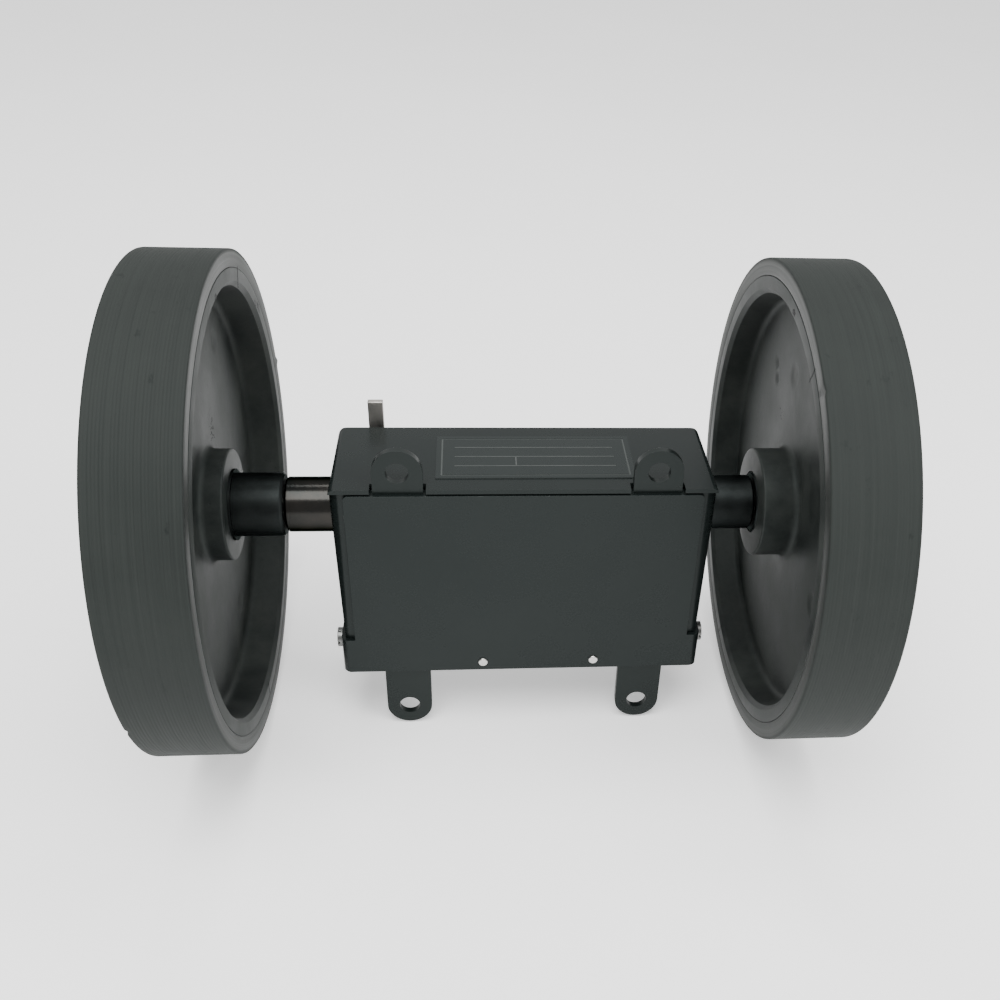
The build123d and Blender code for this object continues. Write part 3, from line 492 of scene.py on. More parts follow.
MATERIALS = {
    "case_paint": satin_enamel(
        "case_enamel", (0.0066, 0.0092, 0.0088, 1.0), (0.0115, 0.0146, 0.014, 1.0), (0.24, 0.34)),
    "bracket_paint": satin_enamel(
        "bracket_enamel", (0.0066, 0.0092, 0.0086, 1.0), (0.012, 0.0148, 0.014, 1.0), (0.26, 0.38)),
    "bezel_paint": satin_enamel(
        "bezel_enamel", (0.01, 0.011, 0.011, 1.0), (0.018, 0.02, 0.02, 1.0), (0.3, 0.42)),
    "nameplate": nameplate_enamel(),
    "window_clear": clear_window(),
    "tube_chrome": turned_steel(
        "dark_chrome", (0.016, 0.0175, 0.017, 1.0), (0.034, 0.031, 0.028, 1.0), (0.14, 0.24), 420.0,
        depth=0.02 * MM, edge_sheen=(0.3, 0.32, 0.31, 1.0)),
    "hub_steel": turned_steel(
        "blackened_steel", (0.015, 0.0175, 0.0172, 1.0), (0.028, 0.0315, 0.031, 1.0), (0.36, 0.52), 1500.0,
        edge_sheen=(0.32, 0.34, 0.335, 1.0)),
    "shaft_steel": turned_steel(
        "ground_steel", (0.5, 0.5, 0.49, 1.0), (0.4, 0.4, 0.39, 1.0), (0.18, 0.32), 2200.0),
    "frame_steel": plated_steel(
        "zinc_plate", (0.56, 0.57, 0.56, 1.0), (0.42, 0.43, 0.42, 1.0), (0.3, 0.45), along=(1.0, 1.0, 0.1)),
    "screw_steel": plated_steel(
        "blackened_screw", (0.1, 0.104, 0.102, 1.0), (0.17, 0.17, 0.165, 1.0), (0.25, 0.4)),
    "rivet_steel": plated_steel(
        "bright_rivet", (0.62, 0.61, 0.59, 1.0), (0.45, 0.45, 0.43, 1.0), (0.22, 0.4)),
    "lever_steel": plated_steel(
        "dull_lever", (0.36, 0.35, 0.33, 1.0), (0.5, 0.48, 0.45, 1.0), (0.38, 0.56),
        along=(1.0, 1.0, 0.08)),
    "spring_steel": plated_steel(
        "spring_wire", (0.5, 0.5, 0.48, 1.0), (0.36, 0.36, 0.35, 1.0), (0.2, 0.35)),
    "wheel_moulding": satin_moulding(),
    "tyre_rubber": ground_rubber(),
    "gear_brass": plated_steel(
        "cut_brass", (0.75, 0.56, 0.25, 1.0), (0.55, 0.4, 0.18, 1.0), (0.22, 0.4)),
    "drum_black": plain_moulding(
        "drum_black", (0.008, 0.008, 0.009, 1.0), (0.014, 0.014, 0.014, 1.0), (0.4, 0.5), gloss=0.15),
    "drum_tenths": plain_moulding(
        "drum_red", (0.33, 0.012, 0.01, 1.0), (0.4, 0.03, 0.025, 1.0), (0.32, 0.45)),
    "pinion_plastic": plain_moulding(
        "nylon", (0.74, 0.73, 0.68, 1.0), (0.62, 0.6, 0.54, 1.0), (0.38, 0.5)),
}
EDGE_HIGHLIGHT_AND_WEAR_MATERIALS = {
    # rounded edges of the sheet pieces, lighter than the faces: a painted highlight along the edges, with rubbed
    # patches of wear
    "case_paint": satin_enamel(
        "case_edge", (0.014, 0.018, 0.018, 1.0), (0.026, 0.03, 0.029, 1.0), (0.18, 0.26), rubbed=0.25),
    "bracket_paint": satin_enamel(
        "bracket_edge", (0.014, 0.018, 0.018, 1.0), (0.028, 0.032, 0.031, 1.0), (0.22, 0.32), rubbed=0.35),
}
DIGIT_PRINT = plain_moulding("digit_print", (0.82, 0.82, 0.78, 1.0), (0.7, 0.7, 0.66, 1.0), (0.4, 0.5))
SLOT_OF_NODE = {part["node"]: part["material_slot"] for part in frame["record"]["subparts"]}

# ---------------------------------------------------------------- mesh helpers


def new_piece(name, mesh, body, slot, material=None, replaces=None, edge_material=None):
    """Put a finished mesh in the scene as a piece that rides on a body."""
    piece = bpy.data.objects.new(name, mesh)
    bpy.context.scene.collection.objects.link(piece)
    # bevel faces carry a second, lighter edge enamel: a painted highlight along the edges, with rubbed wear
    kept = [polygon.material_index for polygon in mesh.polygons] if edge_material else None
    mesh.materials.clear()
    mesh.materials.append(material or MATERIALS[slot])
    if edge_material:
        mesh.materials.append(edge_material)
        mesh.polygons.foreach_set("material_index", kept)
    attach(piece, body)
    if replaces:
        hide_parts(replaces)


def baked(piece):
    """Apply a scratch object's modifiers; returns the plain mesh and drops the object."""
    depsgraph = bpy.context.evaluated_depsgraph_get()
    mesh = bpy.data.meshes.new_from_object(piece.evaluated_get(depsgraph), depsgraph=depsgraph)
    bpy.data.objects.remove(piece)
    return mesh


def scratch_object(name, mesh):
    """Object that only exists until it is baked."""
    piece = bpy.data.objects.new(name, mesh)
    bpy.context.scene.collection.objects.link(piece)
    return piece


def shade_by_angle(mesh, angle):
    """Smooth shading with sharp edges past an angle."""
    mesh.polygons.foreach_set("use_smooth", [True] * len(mesh.polygons))
    mesh.set_sharp_from_angle(angle=radians(angle))
    mesh.update()


def rounded_outline(points, rounds):
    """Outline of (x, radius) points with each corner turned into an arc of the radius given for it."""
    outline = []
    count = len(points)
    for index, (point, corner) in enumerate(zip(points, rounds)):
        here = Vector(point)
        before = Vector(points[index - 1]) - here
        after = Vector(points[(index + 1) % count]) - here
        if corner == 0.0:
            outline.append(tuple(here))
            continue
        angle = before.angle(after)
        reach = corner / max(1e-6, abs(sin(angle / 2) / cos(angle / 2)))
        start = here + before.normalized() * reach
        end = here + after.normalized() * reach
        for step in range(ARC_STEPS + 1):
            t = step / ARC_STEPS
            # quadratic arc through the two tangent points, pulled to the corner
            outline.append(tuple(start * (1 - t) ** 2 + here * 2 * t * (1 - t) + end * t * t))
    return outline


def turn_from(angle, start):
    """Turn from one angle to another, between minus half a turn and half a turn."""
    return (angle - start + pi) % (2 * pi) - pi


def turned_mesh(name, outline, middle_x, segments, place):
    """Revolve a closed outline of (x, radius) about the wheel shaft; place moves each point."""
    mesh = bpy.data.meshes.new(name)
    work = bmesh.new()
    rings = []
    for step in range(segments):
        angle = 2 * pi * step / segments
        ring = []
        for point in outline:
            x, radius = place(*point, angle)
            y, z = AXIS_Y + radius * cos(angle), AXIS_Z + radius * sin(angle)
            ring.append(work.verts.new((middle_x + x, y, z)))
        rings.append(ring)
    count = len(outline)
    for step in range(segments):
        near = rings[step]
        far = rings[(step + 1) % segments]
        for index in range(count):
            follow = (index + 1) % count
            work.faces.new((near[index], near[follow], far[follow], far[index]))
    bmesh.ops.recalc_face_normals(work, faces=work.faces)
    work.to_mesh(mesh)
    work.free()
    return mesh


def even_steps(start, end, length):
    """Points from start towards end, about a length apart, without the end."""
    count = max(1, round(abs(end - start) / length))
    return [start + (end - start) * step / count for step in range(count)]


# ---------------------------------------------------------------- tyres


def make_tread_tree():
    """Geometry nodes that grind wavering rings into the tread of a turned tyre."""
    tree, given, result = geometry_tree("ground_tread", [
        ("Tread Radius", "Float", WHEEL_RADIUS), ("Groove Pitch", "Float", GROOVE_PITCH),
        ("Groove Depth", "Float", GROOVE_DEPTH["left"]), ("Waver", "Float", 0.3 * MM),
        ("Seed", "Float", 1.0), ("Rubber", "Material", None)])
    x, y, z, radius = about_shaft(tree, own_position(tree))
    # the rings waver slowly round the wheel and differ in depth across it
    around = tree.nodes.new("ShaderNodeCombineXYZ")
    tree.links.new(math_node(tree, "DIVIDE", y, radius), around.inputs["X"])
    tree.links.new(math_node(tree, "DIVIDE", z, radius), around.inputs["Y"])
    tree.links.new(given["Seed"], around.inputs["Z"])
    drift = noise(tree, around.outputs[0], 2.2, detail=2.0)
    shifted = math_node(tree, "MULTIPLY_ADD", drift, given["Waver"], x)
    phase = math_node(tree, "MULTIPLY", math_node(tree, "DIVIDE", shifted, given["Groove Pitch"]), 2 * pi)
    wave = math_node(tree, "MULTIPLY_ADD", math_node(tree, "SINE", phase), 0.5, 0.5)
    across = tree.nodes.new("ShaderNodeCombineXYZ")
    tree.links.new(x, across.inputs["X"])
    tree.links.new(given["Seed"], across.inputs["Y"])
    uneven = noise(tree, across.outputs[0], 900.0, detail=2.0)
    depth = math_node(tree, "MULTIPLY", given["Groove Depth"], span(tree, uneven, 0.35, 0.68, 0.05, 1.0))
    on_tread = span(tree, radius, math_node(tree, "SUBTRACT", given["Tread Radius"], 0.05 * MM),
                    math_node(tree, "SUBTRACT", given["Tread Radius"], 0.01 * MM))
    cut = math_node(tree, "MULTIPLY", math_node(tree, "MULTIPLY", wave, depth), on_tread)
    inward = tree.nodes.new("ShaderNodeCombineXYZ")
    for part, axis in ((y, "Y"), (z, "Z")):
        share = math_node(tree, "DIVIDE", part, radius)
        tree.links.new(math_node(tree, "MULTIPLY", share, math_node(tree, "MULTIPLY", cut, -1.0)),
                       inward.inputs[axis])
    move = tree.nodes.new("GeometryNodeSetPosition")
    tree.links.new(given["Geometry"], move.inputs["Geometry"])
    tree.links.new(inward.outputs[0], move.inputs["Offset"])
    close_geometry_tree(tree, move.outputs[0], given["Rubber"], result)
    return tree


def run_tree(piece, tree, **values):
    """Give an object a geometry nodes modifier with its inputs set, and bake it to a plain mesh."""
    modifier = piece.modifiers.new(tree.name, "NODES")
    modifier.node_group = tree
    for item in tree.interface.items_tree:
        key = item.name.replace(" ", "_")
        if item.in_out == "INPUT" and key in values:
            modifier[item.identifier] = values[key]
    return baked(piece)


TREAD_TREE = make_tread_tree()
CHIPS = {
    # edge nicks as (angle, x side, reach, depth)
    # a depth below zero is a nub of flash that stands out
    "left": ((radians(9.8), 1, 1.5 * MM, -0.35 * MM), (radians(201), -1, 1.2 * MM, 0.3 * MM)),
    "right": ((radians(125), -1, 1.4 * MM, 0.5 * MM), (radians(22), 1, 1.1 * MM, 0.3 * MM)),
}


def tyre_outline():
    """Tyre section with rounded tread edges and enough points to carry the ground rings."""
    half = WHEEL_WIDTH / 2
    edge = TREAD_EDGE
    step = GROOVE_PITCH / TREAD_STEPS_PER_GROOVE
    tread = [(x, WHEEL_RADIUS) for x in even_steps(-half + edge, half - edge, step)]
    right_side = [
        (half - edge, WHEEL_RADIUS),
        (half - edge * 0.35, WHEEL_RADIUS - edge * 0.12),
        (half - edge * 0.08, WHEEL_RADIUS - edge * 0.42),
        (half, WHEEL_RADIUS - edge),
        (half, WHEEL_RADIUS - edge * 2.2),
        (half, TYRE_BORE + 0.25 * MM),
        (half - 0.12 * MM, TYRE_BORE + 0.06 * MM),
        (half - 0.3 * MM, TYRE_BORE),
    ]
    left_side = [(-x, radius) for x, radius in reversed(right_side)]
    return tread + right_side + left_side[:-1]


def make_tyre(side, seed):
    """Solid rubber tyre: turned blank with nicked edges, then ground by the tread tree."""
    low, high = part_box(f"{side}_tyre")
    half = WHEEL_WIDTH / 2

    def nicked(x, radius, angle):
        """Sink a point into a nick in the edge, or lift it into a nub."""
        if radius < WHEEL_RADIUS - NICK_BAND:
            return x, radius
        for nick_angle, nick_side, reach, depth in CHIPS[side]:
            turn = turn_from(angle, nick_angle)
            distance = ((turn * radius) ** 2 + (x - nick_side * half) ** 2) ** 0.5
            if distance < reach:
                sunk = depth * cos(distance / reach * pi / 2) ** 2
                return x - nick_side * sunk * NICK_LEAN, radius - sunk
        return x, radius

    blank = turned_mesh(f"{side}_tyre_blank", tyre_outline(), (low.x + high.x) / 2, TYRE_SEGMENTS,
                        nicked)
    mesh = run_tree(scratch_object(f"{side}_tyre_blank", blank), TREAD_TREE, Seed=seed,
                    Groove_Depth=GROOVE_DEPTH[side], Rubber=MATERIALS["tyre_rubber"])
    shade_by_angle(mesh, TYRE_EDGE_ANGLE)
    new_piece(f"{side}_ground_tyre", mesh, "wheel_shaft", "tyre_rubber", replaces=f"{side}_tyre")


# ---------------------------------------------------------------- wheel bodies
EJECTOR_MARKS = {
    # round marks of the ejector pins on the web, as (angle, radius, half size, depth)
    "left": (
        (radians(47.3), 36.4 * MM, 2.6 * MM, 0.4 * MM), (radians(167), 36.4 * MM, 2.6 * MM, 0.35 * MM),
        (radians(287), 36.4 * MM, 2.6 * MM, 0.35 * MM)),
    "right": (
        (radians(47.2), 32.6 * MM, 1.5 * MM, 0.4 * MM), (radians(46), 29.0 * MM, 1.5 * MM, 0.4 * MM),
        (radians(73.6), 28.4 * MM, 2.8 * MM, 0.25 * MM), (radians(194), 30.0 * MM, 2.8 * MM, 0.3 * MM)),
}


def wheel_outline():
    """Wheel body section with every corner eased and points across the web for its marks."""
    half = WHEEL_WIDTH / 2
    lip = LIP_RADIUS
    corners = [
        ((BOSS_LEFT, SLEEVE_BORE), 0.0),
        ((BOSS_LEFT, BOSS_RADIUS), EDGE_ROUND * 1.4),
        ((WEB_LEFT, BOSS_RADIUS), WEB_FILLET),
        ((WEB_LEFT, lip - RIM_DRAFT), WEB_FILLET),
        ((-half + LIP_CHAMFER, lip), EDGE_ROUND * 0.5),
        ((-half, lip + LIP_CHAMFER), EDGE_ROUND * 0.5),
        ((-half, CORE_RADIUS), 0.2 * MM),
        ((half, CORE_RADIUS), 0.2 * MM),
        ((half, lip + LIP_CHAMFER), EDGE_ROUND * 0.5),
        ((half - LIP_CHAMFER, lip), EDGE_ROUND * 0.5),
        ((WEB_RIGHT, lip - RIM_DRAFT), WEB_FILLET),
        ((WEB_RIGHT, BOSS_RADIUS), WEB_FILLET),
        ((BOSS_RIGHT, BOSS_RADIUS), EDGE_ROUND * 1.4),
        ((BOSS_RIGHT, SLEEVE_BORE), 0.0),
    ]
    outline = rounded_outline([point for point, _ in corners], [size for _, size in corners])
    filled = []
    for index, point in enumerate(outline):
        follow = outline[(index + 1) % len(outline)]
        long_web = abs(point[0] - follow[0]) < 1e-7 and abs(point[1] - follow[1]) > SHORTEST_WEB
        if long_web:
            filled += [(point[0], radius) for radius in even_steps(point[1], follow[1], WEB_STEP)]
        else:
            filled.append(point)
    return filled


def make_wheel_core(side):
    """Moulded wheel body with ejector marks in the web and a slight ripple in its faces."""
    low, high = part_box(f"{side}_tyre")

    def marked(x, radius, angle):
        """Sink a web point where an ejector mark lies, and let the web ripple a little."""
        on_web = BOSS_RADIUS + WEB_FILLET < radius < LIP_RADIUS - RIM_DRAFT - WEB_FILLET
        if not on_web or abs(x) > WEB_BAND:
            return x, radius
        inward = 1 if x < 0 else -1
        x += inward * WEB_RIPPLE * (sin(3 * angle + 1.1) + sin(5 * angle + radius / (4 * MM)))
        for mark_angle, mark_radius, half_size, depth in EJECTOR_MARKS[side]:
            along = turn_from(angle, mark_angle) * radius
            distance = (along ** 2 + (radius - mark_radius) ** 2) ** 0.5 / half_size
            if distance < 1:
                x += inward * depth * min(1.0, 2.5 * (1 - distance))
        return x, radius

    mesh = turned_mesh(f"{side}_wheel_body", wheel_outline(), (low.x + high.x) / 2, WHEEL_SEGMENTS,
                       marked)
    shade_by_angle(mesh, WHEEL_EDGE_ANGLE)
    new_piece(f"{side}_wheel_body", mesh, "wheel_shaft", "wheel_moulding",
              replaces=f"{side}_wheel_core")


# ---------------------------------------------------------------- seams and smudges on the wheel bodies
MOULD_DIRT = plain_moulding(
    "mould_dirt", (0.003, 0.004, 0.004, 1.0), (0.008, 0.009, 0.009, 1.0), (0.6, 0.8))
STAIN_RISE = 0.04 * MM
STAIN_POINTS = 26
SPECK_RADIUS = 0.28 * MM
STAINS = {
    # (angle, radius, half reach along the radius, half reach round the wheel) on the open face of the rim
    "left": (
        (radians(63.3), 47.6 * MM, 1.75 * MM, 0.2 * MM), (radians(262), 47.6 * MM, 1.3 * MM, 0.18 * MM),
        (radians(37), 48.0 * MM, 0.7 * MM, 1.5 * MM), (radians(41), 47.2 * MM, 0.5 * MM, 0.8 * MM),
        (radians(90), 46.9 * MM, 0.45 * MM, 0.7 * MM)),
    "right": (
        (radians(118), 47.6 * MM, 1.7 * MM, 0.16 * MM), (radians(284), 47.6 * MM, 1.4 * MM, 0.16 * MM),
        (radians(96), 47.4 * MM, 0.5 * MM, 0.9 * MM)),
}
SPECK_FIELDS = {
    # (lowest y, lowest z, highest y, highest z) from the shaft axis, and how many specks
    "left": ((9.0 * MM, 9.5 * MM, 13.0 * MM, 20.0 * MM), 46),
    "right": ((9.5 * MM, 14.0 * MM, 14.5 * MM, 24.0 * MM), 30),
}


def make_stains(side):
    """Seam cracks and smudges: thin ragged scales lying on the open face of the wheel body's rim."""
    low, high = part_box(f"{side}_tyre")
    outward = 1 if side == "left" else -1
    face_x = high.x if side == "left" else low.x
    work = bmesh.new()
    for index, (angle, radius, half_radial, half_round) in enumerate(STAINS[side]):
        levels = []
        for rise in (-STAIN_RISE, STAIN_RISE):
            ring = []
            for step in range(STAIN_POINTS):
                turn = 2 * pi * step / STAIN_POINTS
                ragged = 1 + 0.22 * sin(5 * turn + index) + 0.16 * sin(9 * turn + 2.3 * index)
                r = radius + half_radial * ragged * cos(turn)
                a = angle + half_round * ragged * sin(turn) / radius
                y, z = AXIS_Y + r * cos(a), AXIS_Z + r * sin(a)
                ring.append(work.verts.new((face_x + outward * rise, y, z)))
            levels.append(ring)
        work.faces.new(levels[0])
        work.faces.new(levels[1])
        for step in range(STAIN_POINTS):
            follow = (step + 1) % STAIN_POINTS
            work.faces.new((levels[0][step], levels[0][follow], levels[1][follow], levels[1][step]))
    bmesh.ops.recalc_face_normals(work, faces=work.faces)
    mesh = bpy.data.meshes.new(f"{side}_rim_stains")
    work.to_mesh(mesh)
    work.free()
    new_piece(f"{side}_rim_stains", mesh, "wheel_shaft", "wheel_moulding", MOULD_DIRT)


def make_speck_tree():
    """Geometry nodes that scatter small flat specks over a field of the web."""
    tree, given, result = geometry_tree("mould_specks", [
        ("Count", "Int", None), ("Low Corner", "Vector", None), ("High Corner", "Vector", None),
        ("Speck Radius", "Float", None), ("Seed", "Int", None), ("Dirt", "Material", None)])
    place = add(tree, "FunctionNodeRandomValue", data_type="FLOAT_VECTOR")
    tree.links.new(given["Low Corner"], place.inputs[0])
    tree.links.new(given["High Corner"], place.inputs[1])
    tree.links.new(given["Seed"], place.inputs["Seed"])
    points = tree.nodes.new("GeometryNodePoints")
    tree.links.new(given["Count"], points.inputs["Count"])
    tree.links.new(place.outputs[0], points.inputs["Position"])
    speck = tree.nodes.new("GeometryNodeMeshIcoSphere")
    tree.links.new(given["Speck Radius"], speck.inputs["Radius"])
    size = add(tree, "FunctionNodeRandomValue", data_type="FLOAT_VECTOR")
    size.inputs[0].default_value = (0.15, 0.4, 0.4)
    size.inputs[1].default_value = (0.2, 1.2, 1.5)
    tree.links.new(given["Seed"], size.inputs["Seed"])
    scatter = tree.nodes.new("GeometryNodeInstanceOnPoints")
    tree.links.new(points.outputs[0], scatter.inputs["Points"])
    tree.links.new(speck.outputs["Mesh"], scatter.inputs["Instance"])
    tree.links.new(size.outputs[0], scatter.inputs["Scale"])
    close_geometry_tree(tree, scatter.outputs[0], given["Dirt"], result)
    return tree


def make_specks(side, tree, seed):
    """Specks of dirt left by the mould, above the boss on the open side of the web."""
    low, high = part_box(f"{side}_tyre")
    web_x = (low.x + high.x) / 2 + (WEB_RIGHT if side == "left" else WEB_LEFT)
    (y_low, z_low, y_high, z_high), count = SPECK_FIELDS[side]
    blank = scratch_object(f"{side}_specks_blank", bpy.data.meshes.new(f"{side}_specks_blank"))
    mesh = run_tree(blank, tree, Count=count, Seed=seed, Speck_Radius=SPECK_RADIUS, Dirt=MOULD_DIRT,
                    Low_Corner=(web_x, AXIS_Y + y_low, AXIS_Z + z_low),
                    High_Corner=(web_x, AXIS_Y + y_high, AXIS_Z + z_high))
    new_piece(f"{side}_web_specks", mesh, "wheel_shaft", "wheel_moulding", MOULD_DIRT)


# ---------------------------------------------------------------- blank ruled nameplate
RULE_WIDTH = 0.22 * MM
RULE_RISE = 0.02 * MM
RULE_MARGIN = 4.0 * MM
RULES_ACROSS = (0.28, 0.5, 0.72)
DIVIDER_PLACE = 0.38
ENGRAVED = plain_moulding("engraved_line", ENGRAVED_METAL_AND_GROOVE_LIGHT, (0.075, 0.08, 0.077, 1.0), (0.4, 0.5))


def make_nameplate_rules():
    """Fine rules that divide the nameplate into blank fields."""
    low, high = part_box("nameplate")
    left, right = low.x + RULE_MARGIN, high.x - RULE_MARGIN
    bars = []
    for share in RULES_ACROSS:
        y = low.y + (high.y - low.y) * share
        bars.append((left, y - RULE_WIDTH / 2, right, y + RULE_WIDTH / 2))
    x = left + (right - left) * DIVIDER_PLACE
    bars.append((x - RULE_WIDTH / 2, low.y + (high.y - low.y) * RULES_ACROSS[0] + RULE_WIDTH,
                 x + RULE_WIDTH / 2, low.y + (high.y - low.y) * RULES_ACROSS[1] - RULE_WIDTH))
    work = bmesh.new()
    for x_low, y_low, x_high, y_high in bars:
        made = bmesh.ops.create_cube(work, size=1.0)["verts"]
        for vert in made:
            vert.co.x = x_high if vert.co.x > 0 else x_low
            vert.co.y = y_high if vert.co.y > 0 else y_low
            vert.co.z = high.z + (RULE_RISE if vert.co.z > 0 else -RULE_RISE)
    mesh = bpy.data.meshes.new("nameplate_rules")
    work.to_mesh(mesh)
    work.free()
    new_piece("nameplate_rules", mesh, body_of_node("nameplate"), "nameplate", ENGRAVED)


# ---------------------------------------------------------------- eased copies of the steel parts
EDGE_ANGLE = 35
FLAT_ANGLE = 0.5
WELD_DISTANCE = 1e-6
BEVEL_SEGMENTS = 2


def eased_copy(node, body, width):
    """Copy of a CAD node with its sharp edges rounded, which stands for the node."""
    mesh = frame["nodes"][node].data.copy()
    work = bmesh.new()
    work.from_mesh(mesh)
    bmesh.ops.remove_doubles(work, verts=work.verts, dist=WELD_DISTANCE)
    bmesh.ops.dissolve_limit(work, angle_limit=radians(FLAT_ANGLE), verts=work.verts, edges=work.edges)
    work.to_mesh(mesh)
    work.free()
    shade_by_angle(mesh, EDGE_ANGLE)
    piece = scratch_object(f"{node}_copy", mesh)
    bevel = piece.modifiers.new("ease", "BEVEL")
    bevel.width = width
    bevel.segments = BEVEL_SEGMENTS
    bevel.limit_method = "ANGLE"
    bevel.angle_limit = radians(EDGE_ANGLE)
    bevel.use_clamp_overlap = True
    slot = SLOT_OF_NODE[node]
    edge_material = EDGE_HIGHLIGHT_AND_WEAR_MATERIALS.get(slot)
    if edge_material:
        mesh.materials.clear()
        mesh.materials.append(MATERIALS[slot])
        mesh.materials.append(edge_material)
        # the bevel's rounded faces get the lighter edge enamel, which paints a highlight along the edges as well
        # as its rubbed wear
        bevel.material = 1
    # large flat faces keep their own direction, so they shade evenly up to the rounded edge
    flatten = piece.modifiers.new("flatten", "WEIGHTED_NORMAL")
    flatten.mode = "FACE_AREA"
    flatten.weight = 100
    flatten.keep_sharp = True
    new_piece(f"{node}_eased", baked(piece), body, slot, replaces=node, edge_material=edge_material)


EASED = {
    "housing_cover": 0.16 * MM,
    "mounting_plate": 0.2 * MM,
    "back_plate": 0.16 * MM,
    "window_bezel": 0.3 * MM,
    "left_hub_sleeve": 0.12 * MM,
    "right_hub_sleeve": 0.12 * MM,
    "reset_lever": 0.18 * MM,
    "side_screws": 0.12 * MM,
    "plate_rivets": 0.05 * MM,
}

# ---------------------------------------------------------------- digits on the drums


def make_digit_tree():
    """Geometry nodes that set the ten digits round a drum, bent to its surface."""
    tree, given, result = geometry_tree("drum_digits", [
        ("Digit Height", "Float", DIGIT_HEIGHT), ("Drum Radius", "Float", DRUM_RADIUS),
        ("Middle X", "Float", 0.0), ("Axis Y", "Float", 0.0), ("Axis Z", "Float", 0.0),
        ("Thickness", "Float", DIGIT_THICKNESS), ("Print", "Material", None)])
    join = tree.nodes.new("GeometryNodeJoinGeometry")
    for digit in range(DIGITS_ON_A_DRUM):
        text = tree.nodes.new("GeometryNodeStringToCurves")
        text.align_x = "CENTER"
        text.align_y = "MIDDLE"
        text.inputs["String"].default_value = str(digit)
        tree.links.new(given["Digit Height"], text.inputs["Size"])
        real = tree.nodes.new("GeometryNodeRealizeInstances")
        tree.links.new(text.outputs["Curve Instances"], real.inputs[0])
        even = tree.nodes.new("GeometryNodeResampleCurve")
        even.mode = "LENGTH"
        even.inputs["Length"].default_value = DIGIT_STEP
        tree.links.new(real.outputs[0], even.inputs["Curve"])
        fill = tree.nodes.new("GeometryNodeFillCurve")
        tree.links.new(even.outputs[0], fill.inputs["Curve"])
        # Y of the flat digit becomes the way round the drum: each digit sits a tenth of a turn on
        place = tree.nodes.new("ShaderNodeSeparateXYZ")
        tree.links.new(own_position(tree), place.inputs[0])
        offset = 2 * pi * digit / DIGITS_ON_A_DRUM
        round_drum = math_node(tree, "DIVIDE", place.outputs["Y"], given["Drum Radius"])
        angle = math_node(tree, "ADD", round_drum, -offset)
        bent = tree.nodes.new("ShaderNodeCombineXYZ")
        tree.links.new(math_node(tree, "SUBTRACT", given["Middle X"], place.outputs["X"]), bent.inputs["X"])
        for operation, axis in (("COSINE", "Y"), ("SINE", "Z")):
            swing = math_node(tree, operation, angle)
            centre = given[f"Axis {axis}"]
            bend = math_node(tree, "MULTIPLY_ADD", swing, given["Drum Radius"], centre)
            tree.links.new(bend, bent.inputs[axis])
        move = tree.nodes.new("GeometryNodeSetPosition")
        tree.links.new(fill.outputs[0], move.inputs["Geometry"])
        tree.links.new(bent.outputs[0], move.inputs["Position"])
        tree.links.new(move.outputs[0], join.inputs[0])
    thick = tree.nodes.new("GeometryNodeExtrudeMesh")
    tree.links.new(join.outputs[0], thick.inputs["Mesh"])
    tree.links.new(given["Thickness"], thick.inputs["Offset Scale"])
    thick.inputs["Individual"].default_value = False
    close_geometry_tree(tree, thick.outputs["Mesh"], given["Print"], result)
    return tree


def make_digits(index, tree):
    """Printed digits of one drum, on the drum's body."""
    node = f"drum_{index}"
    joint = next(item for item in frame["joints"] if item["child"] == f"{node}_body")
    _, axis_y, axis_z = joint["pos_m"]
    low_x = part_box(node)[0].x
    gear_width = DRUM_GEAR_WIDTH if index == 1 else 0.0
    middle_x = low_x + gear_width + HEART_WIDTH + DRUM_RIM_WIDTH / 2
    blank = scratch_object(f"{node}_digits_blank", bpy.data.meshes.new(f"{node}_digits_blank"))
    mesh = run_tree(blank, tree, Middle_X=middle_x, Axis_Y=axis_y, Axis_Z=axis_z,
                    Drum_Radius=DRUM_RADIUS + DIGIT_LIFT, Print=DIGIT_PRINT)
    new_piece(f"{node}_digits", mesh, f"{node}_body", SLOT_OF_NODE[node], DIGIT_PRINT)


# ---------------------------------------------------------------- build the looks


def dress_frame():
    """Give each CAD node the material of its slot, except the right bearing tube, which gets the hub's blackened
    steel.
    """
    for node, piece in frame["nodes"].items():
        finish = "hub_steel" if node == "right_bearing_tube" else SLOT_OF_NODE[node]
        for slot in piece.material_slots:
            slot.material = MATERIALS[finish]


def body_of_node(node):
    """Name of the body that a CAD node belongs to."""
    for body, nodes in frame["record"]["behaviour"]["bodies"].items():
        if node in nodes:
            return body
    return "root"


def build_looks():
    """Make every piece that adds to or stands for the CAD nodes."""
    dress_frame()
    speck_tree = make_speck_tree()
    for side, seed in (("left", 1.0), ("right", 7.0)):
        make_tyre(side, seed)
        make_wheel_core(side)
        make_stains(side)
        make_specks(side, speck_tree, int(seed))
    make_nameplate_rules()
    for node, width in EASED.items():
        eased_copy(node, body_of_node(node), width)
    tree = make_digit_tree()
    for index in range(1, DRUM_COUNT + 1):
        make_digits(index, tree)


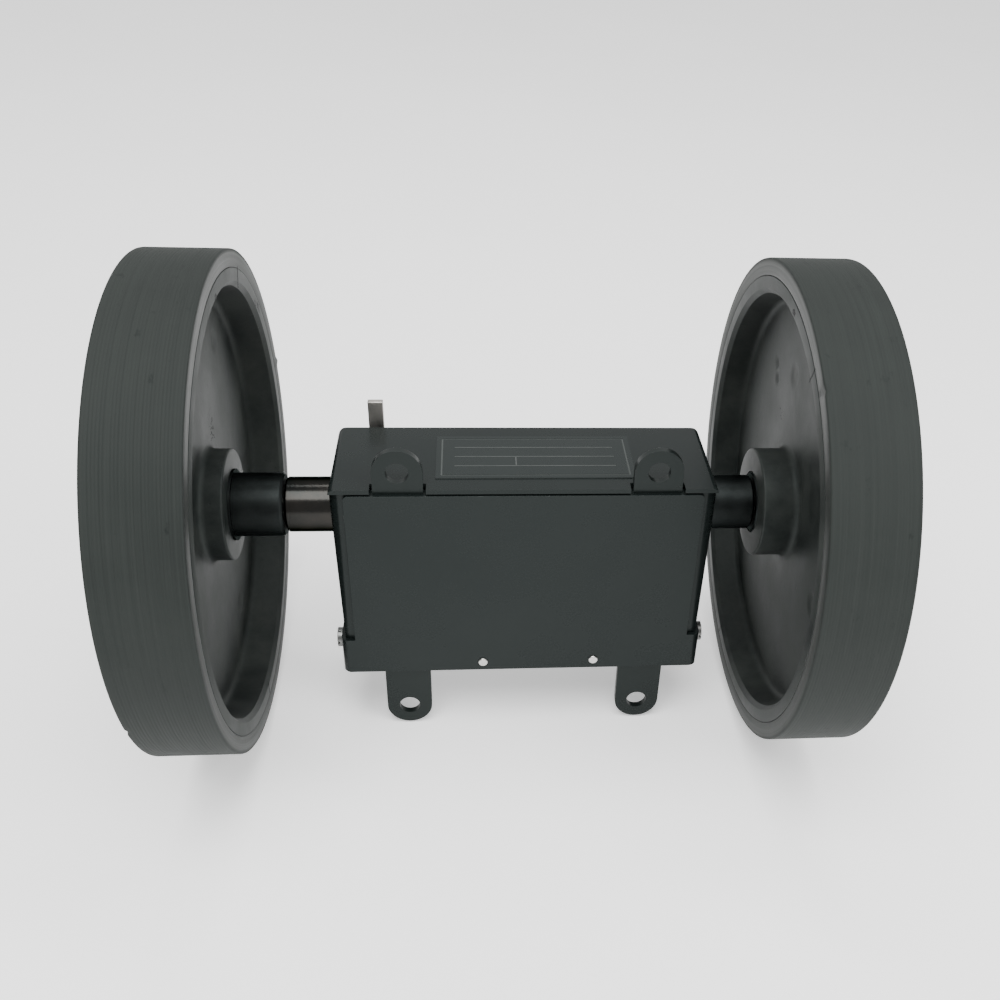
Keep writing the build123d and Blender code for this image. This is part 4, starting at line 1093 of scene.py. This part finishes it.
# ---------------------------------------------------------------- studio
CAMERA_PLACE = Vector((-11.84, -195.08, 149.54)) * MM
CAMERA_RIGHT = Vector((0.9949, -0.0876, 0.0492))
CAMERA_UP = Vector((0.0113, 0.5841, 0.8116))
CAMERA_LENS = 39.24
CAMERA_SHIFT = (-0.083, 0.064)
SENSOR_WIDTH = 36.0
CLIP_START, CLIP_END = 0.01, 50.0
FLOOR_HALF_SIZE = 6.0
FLOOR_GAP = 0.5 * MM
SOFTBOXES = (
    # name, place, point aimed at, size, power
    ("key", (-0.1, -0.3, 0.75), (0.0, 0.0, 0.0), (0.5, 0.5), 7.5),
    ("strip", (0.1, 0.15, 0.7), (0.0, 0.0, 0.02), (0.6, 0.08), 2.0),
    ("fill", (0.6, -0.45, 0.55), (0.0, 0.0, 0.0), (0.5, 0.5), 4.0),
)


def add_camera():
    """Camera a little above the shaft, looking down at the mounting side."""
    data = bpy.data.cameras.new("camera")
    data.lens = CAMERA_LENS
    data.sensor_width = SENSOR_WIDTH
    data.shift_x, data.shift_y = CAMERA_SHIFT
    data.clip_start, data.clip_end = CLIP_START, CLIP_END
    camera = bpy.data.objects.new("camera", data)
    back = CAMERA_RIGHT.cross(CAMERA_UP).normalized()
    up = back.cross(CAMERA_RIGHT).normalized()
    turn = Matrix((CAMERA_RIGHT.normalized(), up, back)).transposed()
    camera.matrix_world = Matrix.Translation(CAMERA_PLACE) @ turn.to_4x4()
    bpy.context.scene.collection.objects.link(camera)
    bpy.context.scene.camera = camera


def add_softbox(name, place, aim_at, size, power):
    """Rectangular soft light aimed at a point."""
    data = bpy.data.lights.new(name, "AREA")
    data.shape = "RECTANGLE"
    data.size, data.size_y = size
    data.energy = power
    light = bpy.data.objects.new(name, data)
    direction = Vector(aim_at) - Vector(place)
    light.rotation_euler = direction.to_track_quat("-Z", "Y").to_euler()
    light.location = place
    bpy.context.scene.collection.objects.link(light)


def add_studio():
    """Pale floor, white surroundings and the soft lights."""
    floor_mesh = bpy.data.meshes.new("floor")
    half = FLOOR_HALF_SIZE
    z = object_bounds()[0].z - FLOOR_GAP
    corners = [(-half, -half, z), (half, -half, z), (half, half, z), (-half, half, z)]
    floor_mesh.from_pydata(corners, [], [(0, 1, 2, 3)])
    floor = bpy.data.objects.new("floor", floor_mesh)
    floor_mesh.materials.append(pale_floor_paint())
    bpy.context.scene.collection.objects.link(floor)
    world = bpy.data.worlds.new("studio")
    world.use_nodes = True
    background = world.node_tree.nodes["Background"]
    background.inputs["Color"].default_value = WHITE
    background.inputs["Strength"].default_value = 1.0
    bpy.context.scene.world = world
    for softbox in SOFTBOXES:
        add_softbox(*softbox)


build_looks()
add_camera()
add_studio()
